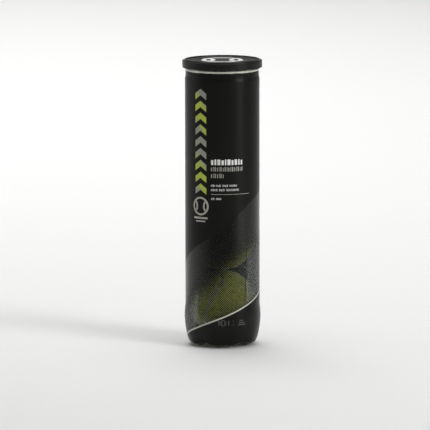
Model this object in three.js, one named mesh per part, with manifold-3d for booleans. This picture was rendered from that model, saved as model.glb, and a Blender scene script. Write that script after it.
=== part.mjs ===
// A pressurised tennis ball can: a clear blown bottle with a five-footed base, a printed shrink sleeve,
// a double-seamed metal end whose panel tears out by a pull tab, a push-on overcap, and four balls inside.
// Millimetres, +Z up, origin on the axis at the plane that the feet stand on. One foot points to -Y.
import * as THREE from "three";
import { mergeVertices } from "three/addons/utils/BufferGeometryUtils.js";
import Module from "manifold-3d";

const wasm = await Module();
wasm.setup();

// ---- Balls -------------------------------------------------------------------------------------------
const BALL_COUNT = 4;
const BALL_DIAMETER = 66; // 65.4 to 68.6 for a standard ball
const BALL_GAP = 0.3; // between one ball and the next, and between the first ball and the base
const FELT_THICKNESS = 2.9;
const CORE_WALL = 3.2;
const CORE_SPLIT = 0.3; // between the core's two halves
const GLUE_GAP = 0.9; // from the felt's back to the rubber core, filled by glue on the real ball
const SEAM_WIDTH = 1; // the rubber line between the two felt panels
const SEAM_CLEARANCE = 1.1; // on each side of that line
const SEAM_LIFT = 0.1; // the line's back lies this far over the felt's back
const SEAM_SUNK = 0.9; // the line's top lies this far under the felt's face
const SEAM_BIAS = 0.3; // how far the seam leans from the diagonals: smaller is a narrower felt waist
const BALL_TURNS = [
  [0.35, 0.5, 0.2],
  [1.2, -0.4, 0.9],
  [-0.6, 0.9, 1.7],
  [2.1, 0.3, -0.8],
]; // each ball's turn about X, Y and Z, in radians, as they happen to lie

// ---- Bottle ------------------------------------------------------------------------------------------
const BALL_SIDE_CLEARANCE = 3.3; // from a ball to the bottle's inner wall
const BOTTLE_WALL = 0.6;
const FOOT_COUNT = 5;
const BASE_RISE = 7.7; // the base's centre over the floor, outside
const KNUCKLE_BULGE = 0.9; // how far the band over the feet stands out past the straight wall
const KNUCKLE_HEIGHT = 30; // of the widest part of that band
const WALL_START = 42; // where the straight wall begins
const PAD_OUTER_INSET = 10.4; // from the wall to the outer edge of a foot's flat pad
const PAD_WIDTH = 3;
const HEEL = [
  [4.5, 3.2],
  [1.9, 8.4],
  [-0.1, 18.6],
]; // [inset from the wall, height] up a foot's outside, between its pad and the widest part
const INSTEP_RUN = 3.6; // the foot's inner slope ends this far inside its pad
const INSTEP_RISE = 1.6;
const FOOT_CROWN = [0.27, -1]; // [share of the radius, rise over the base's middle] over a foot
const VALLEY_CROWN = [
  [0.22, 0.15],
  [0.4, 1],
  [0.52, 2],
]; // the same between two feet, where the base follows the dome that holds the pressure
const VALLEY_FLANK = [
  [0.58, 2.7],
  [0.76, 6],
  [0.9, 11],
  [0.98, 17.5],
];
const VALLEY_BULGE_SHARE = 0.9; // the valley's widest part stands out by this share of the foot's
const VALLEY_BULGE_RISE = 2; // and lies this much higher
const VALLEY_START = 0.25; // the valley begins this share of the way from a foot's middle to its own
const NECK_INSET = 0.6; // the neck is this much smaller in radius than the straight wall
const SHOULDER_HEIGHT = 2.9;
const NECK_UNDER_FILM = 4.7; // from the film's upper edge down to the shoulder
const HEADSPACE = 5.75; // from the last ball to the end panel

// ---- Metal end ---------------------------------------------------------------------------------------
const SHEET = 0.35; // the end's metal
const FIT_GAP = 0.3; // between pieces seamed or set into each other
const COUNTERSINK_DEPTH = 5; // from the seam's top down to the panel
const SEAM_HEIGHT = 3.1;
const SEAM_STANDOUT = 1.8; // the seam's outside past the neck's outside
const SEAM_CORNER = 0.25;
const LEDGE_WIDTH = 1.05; // what is left of the panel on the ring once it is torn out
const SCORE_GAP = 0.3; // the score line's cut
const GROOVE_INSET = 3; // from the panel's edge to its stiffening groove
const GROOVE_DEPTH = 0.5;
const GROOVE_HALF_WIDTH = 1;
const PANEL_RINGS = [5, 10, 16, 23]; // radii at which the panel inside the groove can bend
const FINGER_WELL_RADIUS = 9;
const FINGER_WELL_DEPTH = 1.5;
const FINGER_WELL_FLAT = 0.3; // share of the well's radius that is flat

// ---- Pull tab ----------------------------------------------------------------------------------------
const TAB_LENGTH = 33;
const TAB_NOSE_INSET = 1.5; // from the panel's edge to the nose
const TAB_NOSE_HALF_WIDTH = 7.4;
const TAB_NOSE_ROUNDING = 5;
const TAB_RING_HALF_WIDTH = 11;
const TAB_THICKNESS = 1.2;
const TAB_STANDOFF = 0.4; // over the panel
const TAB_EDGE = 0.3; // the curled rim's rounding
const TAB_HOLE_HALF_WIDTH = 7.2;
const TAB_HOLE_HALF_LENGTH = 6.3;
const RIVET_FROM_NOSE = 6.6;
const RIVET_RADIUS = 2.1;
const RIVET_HEAD_RADIUS = 3.1;
const RIVET_HEAD_HEIGHT = 0.5;
const RIVET_HEAD_SLOPE = 0.2;
const RIVET_CLEARANCE = 0.2; // round its shank, in the tongue
const RIVET_SLACK = 0.1; // between the tongue and the rivet's head
const RIVET_AROUND = 16;
const TONGUE_HALF_WIDTH = 3.9;
const TONGUE_LENGTH = 9;
const TONGUE_THICKNESS = 0.4;
const TONGUE_CLEARANCE = 0.5;

// ---- Sleeve ------------------------------------------------------------------------------------------
const FILM = 0.2; // drawn thicker than the real 0.05 film
const FILM_GAP = 0.2; // between the film and the bottle
const FILM_TOP_DROP = 3.8; // from the overcap's rim down to the film's upper edge
const FILM_FOOT_HEIGHT = 3.2; // the film's lower edge over a foot
const FILM_VALLEY_HEIGHT = 5.4; // the film's lower edge between two feet
const FILM_TENT = 1.6; // how far the taut film sinks in between two feet

// ---- Overcap -----------------------------------------------------------------------------------------
const CAP_WALL = 1.2;
const CAP_REST_GAP = 0.4; // between the seam's top and the cap's underside
const CAP_SIDE_CLEARANCE = 0.45; // between the seam and the skirt's inside
const CAP_RECESS = 1; // the panel's depth below the cap's top ring
const CAP_HEIGHT = 8;
const CAP_STEP_HEIGHT = 1.1; // from the cap's top ring down to the skirt's shoulder
const CAP_STEP_INSET = 2.15; // from the skirt's outside to the top ring's outside
const CAP_RING_WIDTH = 1.6;
const CAP_CORNER = 0.5; // in the corners of the skirt's inside and of the step
const CAP_EDGE = 0.35; // on the cap's outer edges
const BEAD_HEIGHT = 1.3; // of the snap bead over the rim
const BEAD_RUN_UP = 0.5; // height of the bead's upper slope
const BEAD_RUN_IN = 0.7; // height of its lower slope, which rides over the seam
const RIM_FLARE = 0.3;
const BEAD_CLEARANCE = 0.15; // the bead clears the seam by this

// ---- Roundness ---------------------------------------------------------------------------------------
const AROUND = 8 * FOOT_COUNT;
const CROWN_STEPS = 5; // along the base's middle
const HEEL_STEPS = 10; // from the pads up to the straight wall: two for each of the heel's five spans
const CORE_AROUND = 12;
const SEAM_STEPS = 44;
const FELT_STEPS_LONG = 24;
const FELT_STEPS_WIDE = 4;
const CORE_STEPS = 4;
const FUSE = 0.1; // how deep one part of a piece runs into the next
const CORNER_GRID = 0.001; // corners are rounded to this, so that those that meet are the same

// ---- Sizes that follow -------------------------------------------------------------------------------
const ballRadius = BALL_DIAMETER / 2;
const feltInner = ballRadius - FELT_THICKNESS;
const coreOuter = feltInner - GLUE_GAP;
const coreInner = coreOuter - CORE_WALL;
const bottleInner = ballRadius + BALL_SIDE_CLEARANCE;
const bottleOuter = bottleInner + BOTTLE_WALL;
const firstBallZ = BASE_RISE + BOTTLE_WALL + BALL_GAP + ballRadius;
const ballPitch = BALL_DIAMETER + BALL_GAP;
const lastBallTop = firstBallZ + (BALL_COUNT - 1) * ballPitch + ballRadius;
const panelBottom = lastBallTop + HEADSPACE;
const panelTop = panelBottom + SHEET;
const seamTop = panelTop + COUNTERSINK_DEPTH;
const seamBottom = seamTop - SEAM_HEIGHT;
const neckOuter = bottleOuter - NECK_INSET;
const neckInner = neckOuter - BOTTLE_WALL;
const seamRadius = neckOuter + SEAM_STANDOUT;
const chuckOuter = neckInner - FIT_GAP;
const chuckInner = chuckOuter - SHEET;
const mouthRadius = chuckInner - LEDGE_WIDTH;
const panelRadius = mouthRadius - SCORE_GAP;
const flangeBottom = seamBottom + SHEET + FIT_GAP;
const flangeTop = flangeBottom + BOTTLE_WALL;
const flangeRadius = seamRadius - SHEET - FIT_GAP;
const capUnderside = seamTop + CAP_REST_GAP;
const capPanelTop = capUnderside + CAP_WALL;
const capTop = capPanelTop + CAP_RECESS;
const capRim = capTop - CAP_HEIGHT;
const skirtInner = seamRadius + CAP_SIDE_CLEARANCE;
const skirtOuter = skirtInner + CAP_WALL;
const filmTop = capRim - FILM_TOP_DROP;
const neckStart = filmTop - NECK_UNDER_FILM;
const shoulderStart = neckStart - SHOULDER_HEIGHT;
const tabNoseY = -(panelRadius - TAB_NOSE_INSET);
const rivetY = tabNoseY + RIVET_FROM_NOSE;
const tabEndY = tabNoseY + TAB_LENGTH;
const tabHoleY = tabEndY - TAB_RING_HALF_WIDTH;
const tongueBottom = panelTop + TAB_STANDOFF;

// ---- Materials ---------------------------------------------------------------------------------------
const clearPet = new THREE.MeshStandardMaterial({
  color: 0xcfd8d4,
  roughness: 0.12,
  metalness: 0,
  transparent: true,
  opacity: 0.35,
});
const printedFilm = new THREE.MeshStandardMaterial({
  color: 0x1c1c1a,
  roughness: 0.3,
  metalness: 0,
  transparent: true,
  opacity: 0.8,
});
const brightMetal = new THREE.MeshStandardMaterial({ color: 0xc8cacb, roughness: 0.25, metalness: 1 });
const tabMetal = new THREE.MeshStandardMaterial({ color: 0xd5d6d8, roughness: 0.32, metalness: 1 });
const sealCompound = new THREE.MeshStandardMaterial({ color: 0x8f8d86, roughness: 0.8, metalness: 0 });
const capPlastic = new THREE.MeshStandardMaterial({ color: 0x161614, roughness: 0.45, metalness: 0 });
const feltYellow = new THREE.MeshStandardMaterial({ color: 0xc3cf2e, roughness: 1, metalness: 0 });
const coreRubber = new THREE.MeshStandardMaterial({ color: 0x33312d, roughness: 0.85, metalness: 0 });
const seamRubber = new THREE.MeshStandardMaterial({ color: 0xd9d6c4, roughness: 0.75, metalness: 0 });

// ---- Helpers -----------------------------------------------------------------------------------------

// The geometry with only its positions: corners that meet are one corner, and no triangle is collapsed.
function closed(geometry) {
  const bare = geometry.index ? geometry.toNonIndexed() : geometry.clone();
  bare.deleteAttribute("normal");
  bare.deleteAttribute("uv");
  const values = bare.attributes.position.array;
  values.forEach((value, i) => {
    values[i] = Math.round(value / CORNER_GRID) * CORNER_GRID;
  });
  const merged = mergeVertices(bare, CORNER_GRID / 10);
  const kept = [];
  const corners = merged.index.array;
  for (let i = 0; i < corners.length; i += 3) {
    const [a, b, c] = [corners[i], corners[i + 1], corners[i + 2]];
    if (a !== b && b !== c && c !== a) kept.push(a, b, c);
  }
  merged.setIndex(kept);
  merged.computeVertexNormals();
  return merged;
}

function solidOf(geometry) {
  const ready = closed(geometry);
  const vertProperties = new Float32Array(ready.attributes.position.array);
  const triVerts = new Uint32Array(ready.index.array);
  return new wasm.Manifold(new wasm.Mesh({ numProp: 3, vertProperties, triVerts }));
}

function geometryOf(solid) {
  const mesh = solid.getMesh();
  const geometry = new THREE.BufferGeometry();
  geometry.setAttribute("position", new THREE.BufferAttribute(mesh.vertProperties, 3));
  geometry.setIndex(new THREE.BufferAttribute(mesh.triVerts, 1));
  geometry.computeVertexNormals();
  return geometry;
}

function piece(name, geometry, material) {
  const mesh = new THREE.Mesh(closed(geometry), material);
  mesh.name = name;
  return mesh;
}

// A ring or disc turned about Z from [radius, height] points that run counterclockwise.
function turned(profile, around = AROUND) {
  const points = profile.map(([radius, height]) => new THREE.Vector2(radius, height));
  return new THREE.LatheGeometry(points, around).rotateX(Math.PI / 2);
}

// The same, closed on itself: the profile never touches the axis.
function turnedRing(profile, around = AROUND) {
  return turned([...profile, profile[0]], around);
}

// 0 on a foot's middle and 1 midway between two feet, for an angle counted from one foot.
function valleyShare(angle) {
  const spacing = (2 * Math.PI) / FOOT_COUNT;
  const fromFoot = Math.abs(angle - spacing * Math.round(angle / spacing));
  return THREE.MathUtils.smoothstep(fromFoot / (spacing / 2), VALLEY_START, 1);
}

// A body whose section changes from a foot to a valley: both profiles have as many points.
function petalled(foot, valley) {
  const points = foot.map(([radius, height]) => new THREE.Vector2(radius, height));
  const geometry = new THREE.LatheGeometry(points, AROUND);
  const position = geometry.attributes.position;
  for (let i = 0; i < position.count; i++) {
    const angle = ((Math.floor(i / foot.length) % AROUND) / AROUND) * 2 * Math.PI;
    const share = valleyShare(angle);
    const [footRadius, footHeight] = foot[i % foot.length];
    const [valleyRadius, valleyHeight] = valley[i % foot.length];
    const radius = THREE.MathUtils.lerp(footRadius, valleyRadius, share);
    const height = THREE.MathUtils.lerp(footHeight, valleyHeight, share);
    position.setXYZ(i, radius * Math.sin(angle), height, radius * Math.cos(angle));
  }
  return geometry.rotateX(Math.PI / 2);
}

// A smooth [radius, height] line through a few points, as `steps` straight stretches.
function smoothLine(points, steps) {
  const spline = new THREE.SplineCurve(points.map(([radius, height]) => new THREE.Vector2(radius, height)));
  return spline.getPoints(steps).map((point) => [Math.max(point.x, 0), point.y]);
}

// The line moved by `distance` to its left, to give a wall's other face. A point on the axis stays there.
function offsetLine(line, distance) {
  return line.map(([radius, height], i) => {
    if (radius === 0) return [0, height + distance];
    const [beforeRadius, beforeHeight] = line[Math.max(i - 1, 0)];
    const [afterRadius, afterHeight] = line[Math.min(i + 1, line.length - 1)];
    const along = new THREE.Vector2(afterRadius - beforeRadius, afterHeight - beforeHeight).normalize();
    return [radius - along.y * distance, height + along.x * distance];
  });
}

// ---- Bottle ------------------------------------------------------------------------------------------

// A [radius, height] point of the base from a [share of the radius, rise over its middle] one.
function onBase([share, rise]) {
  return [bottleOuter * share, BASE_RISE + rise];
}

// A foot's outside, from its flat pad up over the knuckle to the straight wall.
function heelLine() {
  return smoothLine(
    [
      [bottleOuter - PAD_OUTER_INSET, 0],
      ...HEEL.map(([inset, height]) => [bottleOuter - inset, height]),
      [bottleOuter + KNUCKLE_BULGE, KNUCKLE_HEIGHT],
      [bottleOuter, WALL_START],
    ],
    HEEL_STEPS,
  );
}

// The base's outside from the axis to the straight wall, through a foot.
function footLine(grow) {
  const padInner = bottleOuter - PAD_OUTER_INSET - PAD_WIDTH;
  const instep = smoothLine(
    [
      [0, BASE_RISE],
      onBase(FOOT_CROWN),
      [padInner - INSTEP_RUN, INSTEP_RISE],
      [padInner, 0],
    ],
    CROWN_STEPS,
  );
  return offsetLine([...instep, ...heelLine()], grow);
}

// The same through the valley between two feet.
function valleyLine(grow) {
  const crown = smoothLine([[0, BASE_RISE], ...VALLEY_CROWN.map(onBase)], CROWN_STEPS);
  const widest = [bottleOuter + KNUCKLE_BULGE * VALLEY_BULGE_SHARE, KNUCKLE_HEIGHT + VALLEY_BULGE_RISE];
  const flank = smoothLine([...VALLEY_FLANK.map(onBase), widest, [bottleOuter, WALL_START]], HEEL_STEPS);
  return offsetLine([...crown, ...flank], grow);
}

function bottle() {
  const neck = [
    [bottleOuter, shoulderStart],
    [neckOuter, neckStart],
    [neckOuter, flangeBottom],
    [flangeRadius, flangeBottom],
    [flangeRadius, flangeTop],
    [neckInner, flangeTop],
    [neckInner, neckStart],
    [bottleInner, shoulderStart],
  ];
  const section = (line) => {
    const inside = line(BOTTLE_WALL).reverse();
    inside[0] = [bottleInner, WALL_START];
    return [...line(0), ...neck, ...inside];
  };
  return petalled(section(footLine), section(valleyLine));
}

// The film over the bottle: it follows the feet, the knuckle, the straight wall and the shoulder, and
// spans the valleys between the feet almost straight.
function sleeve() {
  const overFoot = heelLine().slice(HEEL_STEPS / 5);
  const sag = (height) => Math.max(0, 1 - height / KNUCKLE_HEIGHT);
  const lift = FILM_VALLEY_HEIGHT - FILM_FOOT_HEIGHT;
  const overValley = overFoot.map(([radius, height]) => [
    radius - FILM_TENT * sag(height),
    height + lift * sag(height),
  ]);
  const face = (line, gap) => [
    ...offsetLine(line, -gap),
    [bottleOuter + gap, shoulderStart],
    [neckOuter + gap, neckStart],
    [neckOuter + gap, filmTop],
  ];
  const section = (line) => {
    const outside = face(line, FILM_GAP + FILM);
    return [...outside, ...face(line, FILM_GAP).reverse(), outside[0]];
  };
  return petalled(section(overFoot), section(overValley));
}

// ---- Metal end ---------------------------------------------------------------------------------------

// The seamed ring that stays on the bottle: the seam's hook round the flange, the chuck wall and the
// ledge that the panel tears away from.
function endRing() {
  return turnedRing([
    [neckOuter + FIT_GAP, seamBottom],
    [seamRadius, seamBottom],
    [seamRadius, seamTop - SEAM_CORNER],
    [seamRadius - SEAM_CORNER, seamTop],
    [chuckInner + SEAM_CORNER, seamTop],
    [chuckInner, seamTop - SEAM_CORNER],
    [chuckInner, panelTop],
    [mouthRadius, panelTop],
    [mouthRadius, panelBottom],
    [chuckOuter, panelBottom],
    [chuckOuter, seamTop - SHEET],
    [seamRadius - SHEET, seamTop - SHEET],
    [seamRadius - SHEET, seamBottom + SHEET],
    [neckOuter + FIT_GAP, seamBottom + SHEET],
  ]);
}

function seamSeal() {
  const bottom = flangeTop + FIT_GAP;
  const top = seamTop - SHEET - FIT_GAP;
  return turnedRing([
    [chuckOuter + FIT_GAP, bottom],
    [flangeRadius, bottom],
    [flangeRadius, top],
    [chuckOuter + FIT_GAP, top],
  ]);
}

// How far the panel's sheet lies below its own level: the stiffening groove and the finger well.
function panelSink(x, y) {
  const groove = panelRadius - GROOVE_INSET;
  const fromGroove = Math.abs(Math.hypot(x, y) - groove);
  const sinkAtGroove = fromGroove < GROOVE_HALF_WIDTH / 2 ? GROOVE_DEPTH : 0;
  const fromWell = Math.hypot(x, y - tabEndY) / FINGER_WELL_RADIUS;
  return sinkAtGroove + FINGER_WELL_DEPTH * (1 - THREE.MathUtils.smoothstep(fromWell, FINGER_WELL_FLAT, 1));
}

// The disc that tears out, with the rivet that is drawn up out of its metal.
function tearPanel() {
  const groove = panelRadius - GROOVE_INSET;
  const radii = [...PANEL_RINGS, groove - GROOVE_HALF_WIDTH, groove, groove + GROOVE_HALF_WIDTH, panelRadius];
  const disc = turned([
    [0, panelBottom],
    ...radii.map((radius) => [radius, panelBottom]),
    ...radii.reverse().map((radius) => [radius, panelTop]),
    [0, panelTop],
  ]);
  const position = disc.attributes.position;
  for (let i = 0; i < position.count; i++) {
    position.setZ(i, position.getZ(i) - panelSink(position.getX(i), position.getY(i)));
  }
  const headBottom = tongueBottom + TONGUE_THICKNESS + RIVET_SLACK;
  const rivet = turned(
    [
      [0, panelBottom + FUSE],
      [RIVET_RADIUS, panelBottom + FUSE],
      [RIVET_RADIUS, headBottom],
      [RIVET_HEAD_RADIUS, headBottom],
      [RIVET_HEAD_RADIUS - RIVET_HEAD_SLOPE, headBottom + RIVET_HEAD_HEIGHT],
      [0, headBottom + RIVET_HEAD_HEIGHT],
    ],
    RIVET_AROUND,
  );
  rivet.translate(0, rivetY, 0);
  return geometryOf(solidOf(disc).add(solidOf(rivet)));
}

// ---- Pull tab ----------------------------------------------------------------------------------------

function roundHole(centreY, halfWidth, halfLength) {
  const hole = new THREE.Path();
  hole.absellipse(0, centreY, halfWidth, halfLength, 0, 2 * Math.PI, true);
  return hole;
}

// The lever that a finger lifts, with its rim curled under and a slot round the riveted tongue.
function pullTab() {
  const outline = new THREE.Shape();
  outline.absellipse(0, tabHoleY, TAB_RING_HALF_WIDTH, TAB_RING_HALF_WIDTH, 0, Math.PI);
  const noseY = tabNoseY + TAB_NOSE_ROUNDING;
  outline.lineTo(-TAB_NOSE_HALF_WIDTH, noseY);
  outline.absellipse(0, noseY, TAB_NOSE_HALF_WIDTH, TAB_NOSE_ROUNDING, Math.PI, 2 * Math.PI);
  outline.holes.push(roundHole(tabHoleY, TAB_HOLE_HALF_WIDTH, TAB_HOLE_HALF_LENGTH));
  const lever = new THREE.ExtrudeGeometry(outline, {
    depth: TAB_THICKNESS - 2 * TAB_EDGE,
    curveSegments: 12,
    bevelEnabled: true,
    bevelThickness: TAB_EDGE,
    bevelSize: TAB_EDGE,
    bevelOffset: -TAB_EDGE,
    bevelSegments: 1,
  });
  lever.translate(0, 0, tongueBottom + TAB_EDGE);
  const slot = new THREE.BoxGeometry(
    2 * (TONGUE_HALF_WIDTH + TONGUE_CLEARANCE),
    TONGUE_LENGTH + 2 * TONGUE_CLEARANCE,
    4 * TAB_THICKNESS,
  );
  slot.translate(0, rivetY, tongueBottom);
  return geometryOf(solidOf(lever).subtract(solidOf(slot)));
}

// The tongue that the rivet clamps to the panel: the lever bends away from it.
function tabTongue() {
  const plate = new THREE.BoxGeometry(2 * TONGUE_HALF_WIDTH, TONGUE_LENGTH, TONGUE_THICKNESS);
  plate.translate(0, rivetY, tongueBottom + TONGUE_THICKNESS / 2);
  const holeRadius = RIVET_RADIUS + RIVET_CLEARANCE;
  const hole = new THREE.CylinderGeometry(holeRadius, holeRadius, TAB_THICKNESS, RIVET_AROUND);
  hole.rotateX(Math.PI / 2).translate(0, rivetY, tongueBottom);
  return geometryOf(solidOf(plate).subtract(solidOf(hole)));
}

// ---- Overcap -----------------------------------------------------------------------------------------

function overcap() {
  const ringOuter = skirtOuter - CAP_STEP_INSET;
  const ringInner = ringOuter - CAP_RING_WIDTH;
  const shoulder = capTop - CAP_STEP_HEIGHT;
  const bead = seamRadius + BEAD_CLEARANCE;
  const beadZ = capRim + BEAD_HEIGHT;
  return turned([
    [0, capUnderside],
    [skirtInner - CAP_CORNER, capUnderside],
    [skirtInner, capUnderside - CAP_CORNER],
    [skirtInner, beadZ + BEAD_RUN_UP],
    [bead, beadZ],
    [skirtInner, beadZ - BEAD_RUN_IN],
    [skirtInner + RIM_FLARE, capRim],
    [skirtOuter, capRim],
    [skirtOuter, shoulder - CAP_EDGE],
    [skirtOuter - CAP_EDGE, shoulder],
    [ringOuter + CAP_CORNER, shoulder],
    [ringOuter, shoulder + CAP_CORNER],
    [ringOuter, capTop - CAP_EDGE],
    [ringOuter - CAP_EDGE, capTop],
    [ringInner + CAP_EDGE, capTop],
    [ringInner, capPanelTop],
    [0, capPanelTop],
  ]);
}

// ---- Balls -------------------------------------------------------------------------------------------

// The unit direction `along` the felt's spine from +Z, and `aside` from it.
function feltDirection(along, aside) {
  const spread = Math.cos(aside);
  return new THREE.Vector3(Math.sin(aside), spread * Math.sin(along), spread * Math.cos(along));
}

// The angle from the seam to a unit direction, to first order: negative inside the felt panel over +Z.
function seamAngle(direction) {
  const { x, y, z } = direction;
  const slope = new THREE.Vector3(2 * x, -2 * y, -SEAM_BIAS);
  slope.addScaledVector(direction, -slope.dot(direction));
  return (x * x - y * y - SEAM_BIAS * z) / slope.length();
}

// The largest angle up to `most` at which directionAt stays `inset` radians inside the seam.
function reach(directionAt, inset, most) {
  let low = 0;
  let high = most;
  for (let i = 0; i < 40; i++) {
    const middle = (low + high) / 2;
    if (seamAngle(directionAt(middle)) < -inset) low = middle;
    else high = middle;
  }
  return low;
}

function feltWidth(along, inset) {
  return reach((aside) => feltDirection(along, aside), inset, Math.PI / 2);
}

function feltLength(inset) {
  return reach((along) => feltDirection(along, 0), inset, Math.PI);
}

// One dog-bone felt panel: a box bent round the ball, its long way along the spine.
function feltPanel() {
  const inset = (SEAM_WIDTH / 2 + SEAM_CLEARANCE) / ballRadius;
  const length = feltLength(inset);
  const geometry = new THREE.BoxGeometry(2, 2, 1, FELT_STEPS_WIDE, FELT_STEPS_LONG, 1);
  const position = geometry.attributes.position;
  for (let i = 0; i < position.count; i++) {
    const along = length * 0.995 * Math.sin((Math.PI / 2) * position.getY(i));
    const aside = position.getX(i) * feltWidth(along, inset);
    const radius = position.getZ(i) > 0 ? ballRadius : feltInner;
    const place = feltDirection(along, aside).multiplyScalar(radius);
    position.setXYZ(i, place.x, place.y, place.z);
  }
  return geometry;
}

// A point of the seam on the unit sphere, `turn` going once round it.
function seamPoint(turn) {
  const along = feltLength(0) * 0.9999 * Math.sin(turn);
  const side = Math.cos(turn) < 0 ? -1 : 1;
  return feltDirection(along, side * feltWidth(along, 0));
}

// The rubber line between the two panels: a torus led along the seam.
function seamLine() {
  const bottom = feltInner + SEAM_LIFT;
  const top = ballRadius - SEAM_SUNK;
  const geometry = new THREE.TorusGeometry(1, 0.1, 4, SEAM_STEPS);
  const position = geometry.attributes.position;
  for (let i = 0; i < position.count; i++) {
    const ring = Math.floor(i / (SEAM_STEPS + 1)) % 4;
    const turn = ((i % (SEAM_STEPS + 1)) / SEAM_STEPS) * 2 * Math.PI;
    const out = seamPoint(turn);
    const onward = seamPoint(turn + 0.01).sub(seamPoint(turn - 0.01)).normalize();
    const aside = out.clone().cross(onward).normalize();
    const radius = ring === 0 || ring === 3 ? top : bottom;
    const side = ring < 2 ? 1 : -1;
    const place = out.multiplyScalar(radius).addScaledVector(aside, (side * SEAM_WIDTH) / 2);
    position.setXYZ(i, place.x, place.y, place.z);
  }
  return geometry;
}

// Half of the hollow rubber core: the two halves are glued along their rims.
function coreHalf() {
  const arc = (radius, rise) => {
    const points = new THREE.EllipseCurve(0, 0, radius, radius, 0, Math.PI / 2).getPoints(CORE_STEPS);
    return points.map((point, i) => (i === CORE_STEPS ? [0, radius] : [point.x, Math.max(point.y, rise)]));
  };
  const inside = arc(coreInner, CORE_SPLIT / 2).reverse();
  const outside = arc(coreOuter, CORE_SPLIT / 2);
  return turned([...inside, ...outside], CORE_AROUND);
}

function ball(number) {
  const group = new THREE.Group();
  const over = `ball_${number}`;
  const coreA = piece(`${over}_core_a`, coreHalf(), coreRubber);
  const coreB = piece(`${over}_core_b`, coreHalf(), coreRubber);
  coreB.rotation.x = Math.PI;
  const feltA = piece(`${over}_felt_a`, feltPanel(), feltYellow);
  const feltB = piece(`${over}_felt_b`, feltPanel(), feltYellow);
  feltB.quaternion.setFromAxisAngle(new THREE.Vector3(1, 1, 0).normalize(), Math.PI);
  const seam = piece(`${over}_seam`, seamLine(), seamRubber);
  group.add(coreA, coreB, feltA, feltB, seam);
  group.rotation.set(...BALL_TURNS[(number - 1) % BALL_TURNS.length]);
  group.position.z = firstBallZ + (number - 1) * ballPitch;
  return group;
}

// ---- The can -----------------------------------------------------------------------------------------

const can = new THREE.Group();
can.add(piece("pet_bottle", bottle(), clearPet));
can.add(piece("shrink_sleeve", sleeve(), printedFilm));
can.add(piece("end_ring", endRing(), brightMetal));
can.add(piece("seam_seal", seamSeal(), sealCompound));
can.add(piece("tear_panel", tearPanel(), brightMetal));
can.add(piece("tab_tongue", tabTongue(), tabMetal));
can.add(piece("pull_tab", pullTab(), tabMetal));
can.add(piece("overcap", overcap(), capPlastic));
for (let number = 1; number <= BALL_COUNT; number++) {
  can.add(ball(number));
}

export default can;
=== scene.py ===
"""A pressurised tennis ball can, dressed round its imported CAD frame.

The CAD model gives every body, place and joint. This script builds the fine surfaces and finishes: the
blown bottle, its printed shrink sleeve, the seamed metal end with its pull tab, the push-on overcap and
the four felt balls. Metres, +Z up, the can's printed front facing -Y.
"""

import bmesh
import bpy
import logging
import math
from dataclasses import dataclass, field
from enum import Enum

import numpy as np
from mathutils import Euler, Matrix, Vector, noise


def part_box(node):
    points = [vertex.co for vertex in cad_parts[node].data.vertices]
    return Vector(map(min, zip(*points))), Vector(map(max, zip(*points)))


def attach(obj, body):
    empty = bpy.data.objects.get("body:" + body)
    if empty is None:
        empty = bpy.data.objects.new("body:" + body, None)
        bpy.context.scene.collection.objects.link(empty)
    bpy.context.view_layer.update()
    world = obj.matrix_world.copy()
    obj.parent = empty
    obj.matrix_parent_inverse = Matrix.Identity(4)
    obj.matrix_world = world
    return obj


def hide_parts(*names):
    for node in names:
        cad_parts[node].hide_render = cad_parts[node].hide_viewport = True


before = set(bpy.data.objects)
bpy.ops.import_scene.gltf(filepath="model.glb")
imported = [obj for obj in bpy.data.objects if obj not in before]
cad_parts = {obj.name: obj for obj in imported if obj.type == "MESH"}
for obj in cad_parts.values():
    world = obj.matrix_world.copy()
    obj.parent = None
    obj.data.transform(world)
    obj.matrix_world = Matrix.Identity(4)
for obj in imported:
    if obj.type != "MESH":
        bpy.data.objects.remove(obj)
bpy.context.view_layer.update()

log = logging.getLogger("tennis_ball_can")

MM = 0.001
FULL_TURN = 2 * math.pi
UP = Vector((0, 0, 1))
Profile = list[tuple[float, float]]
Color = tuple[float, float, float]
Corner = tuple[float, float, float]


# ---- Shader maths --------------------------------------------------------------------------------


class Value:
    """A number socket of a material that can be used in Python sums."""

    def __init__(self, paint: "Paint", socket: bpy.types.NodeSocket) -> None:
        """Wraps one output socket.

        Args:
            paint: The material that the socket belongs to.
            socket: The output that carries the number.
        """
        self.paint = paint
        self.socket = socket

    def math(self, operation: str, *others: "Value | float", first: bool = True) -> "Value":
        """Adds one Math node.

        Args:
            operation: The Math node's operation.
            others: Its other inputs.
            first: Whether this value is the first input, or the second.

        Returns:
            The node's result.
        """
        inputs = [self, *others] if first else [*others, self]
        node = self.paint.node("ShaderNodeMath", {"operation": operation}, dict(enumerate(inputs)))
        return Value(self.paint, node.outputs[0])

    def __add__(self, other: "Value | float") -> "Value":
        """This plus other."""
        return self.math("ADD", other)

    __radd__ = __add__

    def __sub__(self, other: "Value | float") -> "Value":
        """This less other."""
        return self.math("SUBTRACT", other)

    def __rsub__(self, other: "Value | float") -> "Value":
        """Other less this."""
        return self.math("SUBTRACT", other, first=False)

    def __mul__(self, other: "Value | float") -> "Value":
        """This times other."""
        return self.math("MULTIPLY", other)

    __rmul__ = __mul__

    def __truediv__(self, other: "Value | float") -> "Value":
        """This over other."""
        return self.math("DIVIDE", other)

    def __abs__(self) -> "Value":
        """This without its sign."""
        return self.math("ABSOLUTE")

    def ramp(self, low: float, high: float, start: float = 0.0, end: float = 1.0) -> "Value":
        """Maps a range smoothly onto another.

        Args:
            low: Where the result is start.
            high: Where the result is end.
            start: The result at and before low.
            end: The result at and past high.

        Returns:
            The mapped value.
        """
        settings = {"interpolation_type": "SMOOTHSTEP"}
        sockets = {"Value": self, "From Min": low, "From Max": high, "To Min": start, "To Max": end}
        return Value(self.paint, self.paint.node("ShaderNodeMapRange", settings, sockets).outputs[0])


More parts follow.
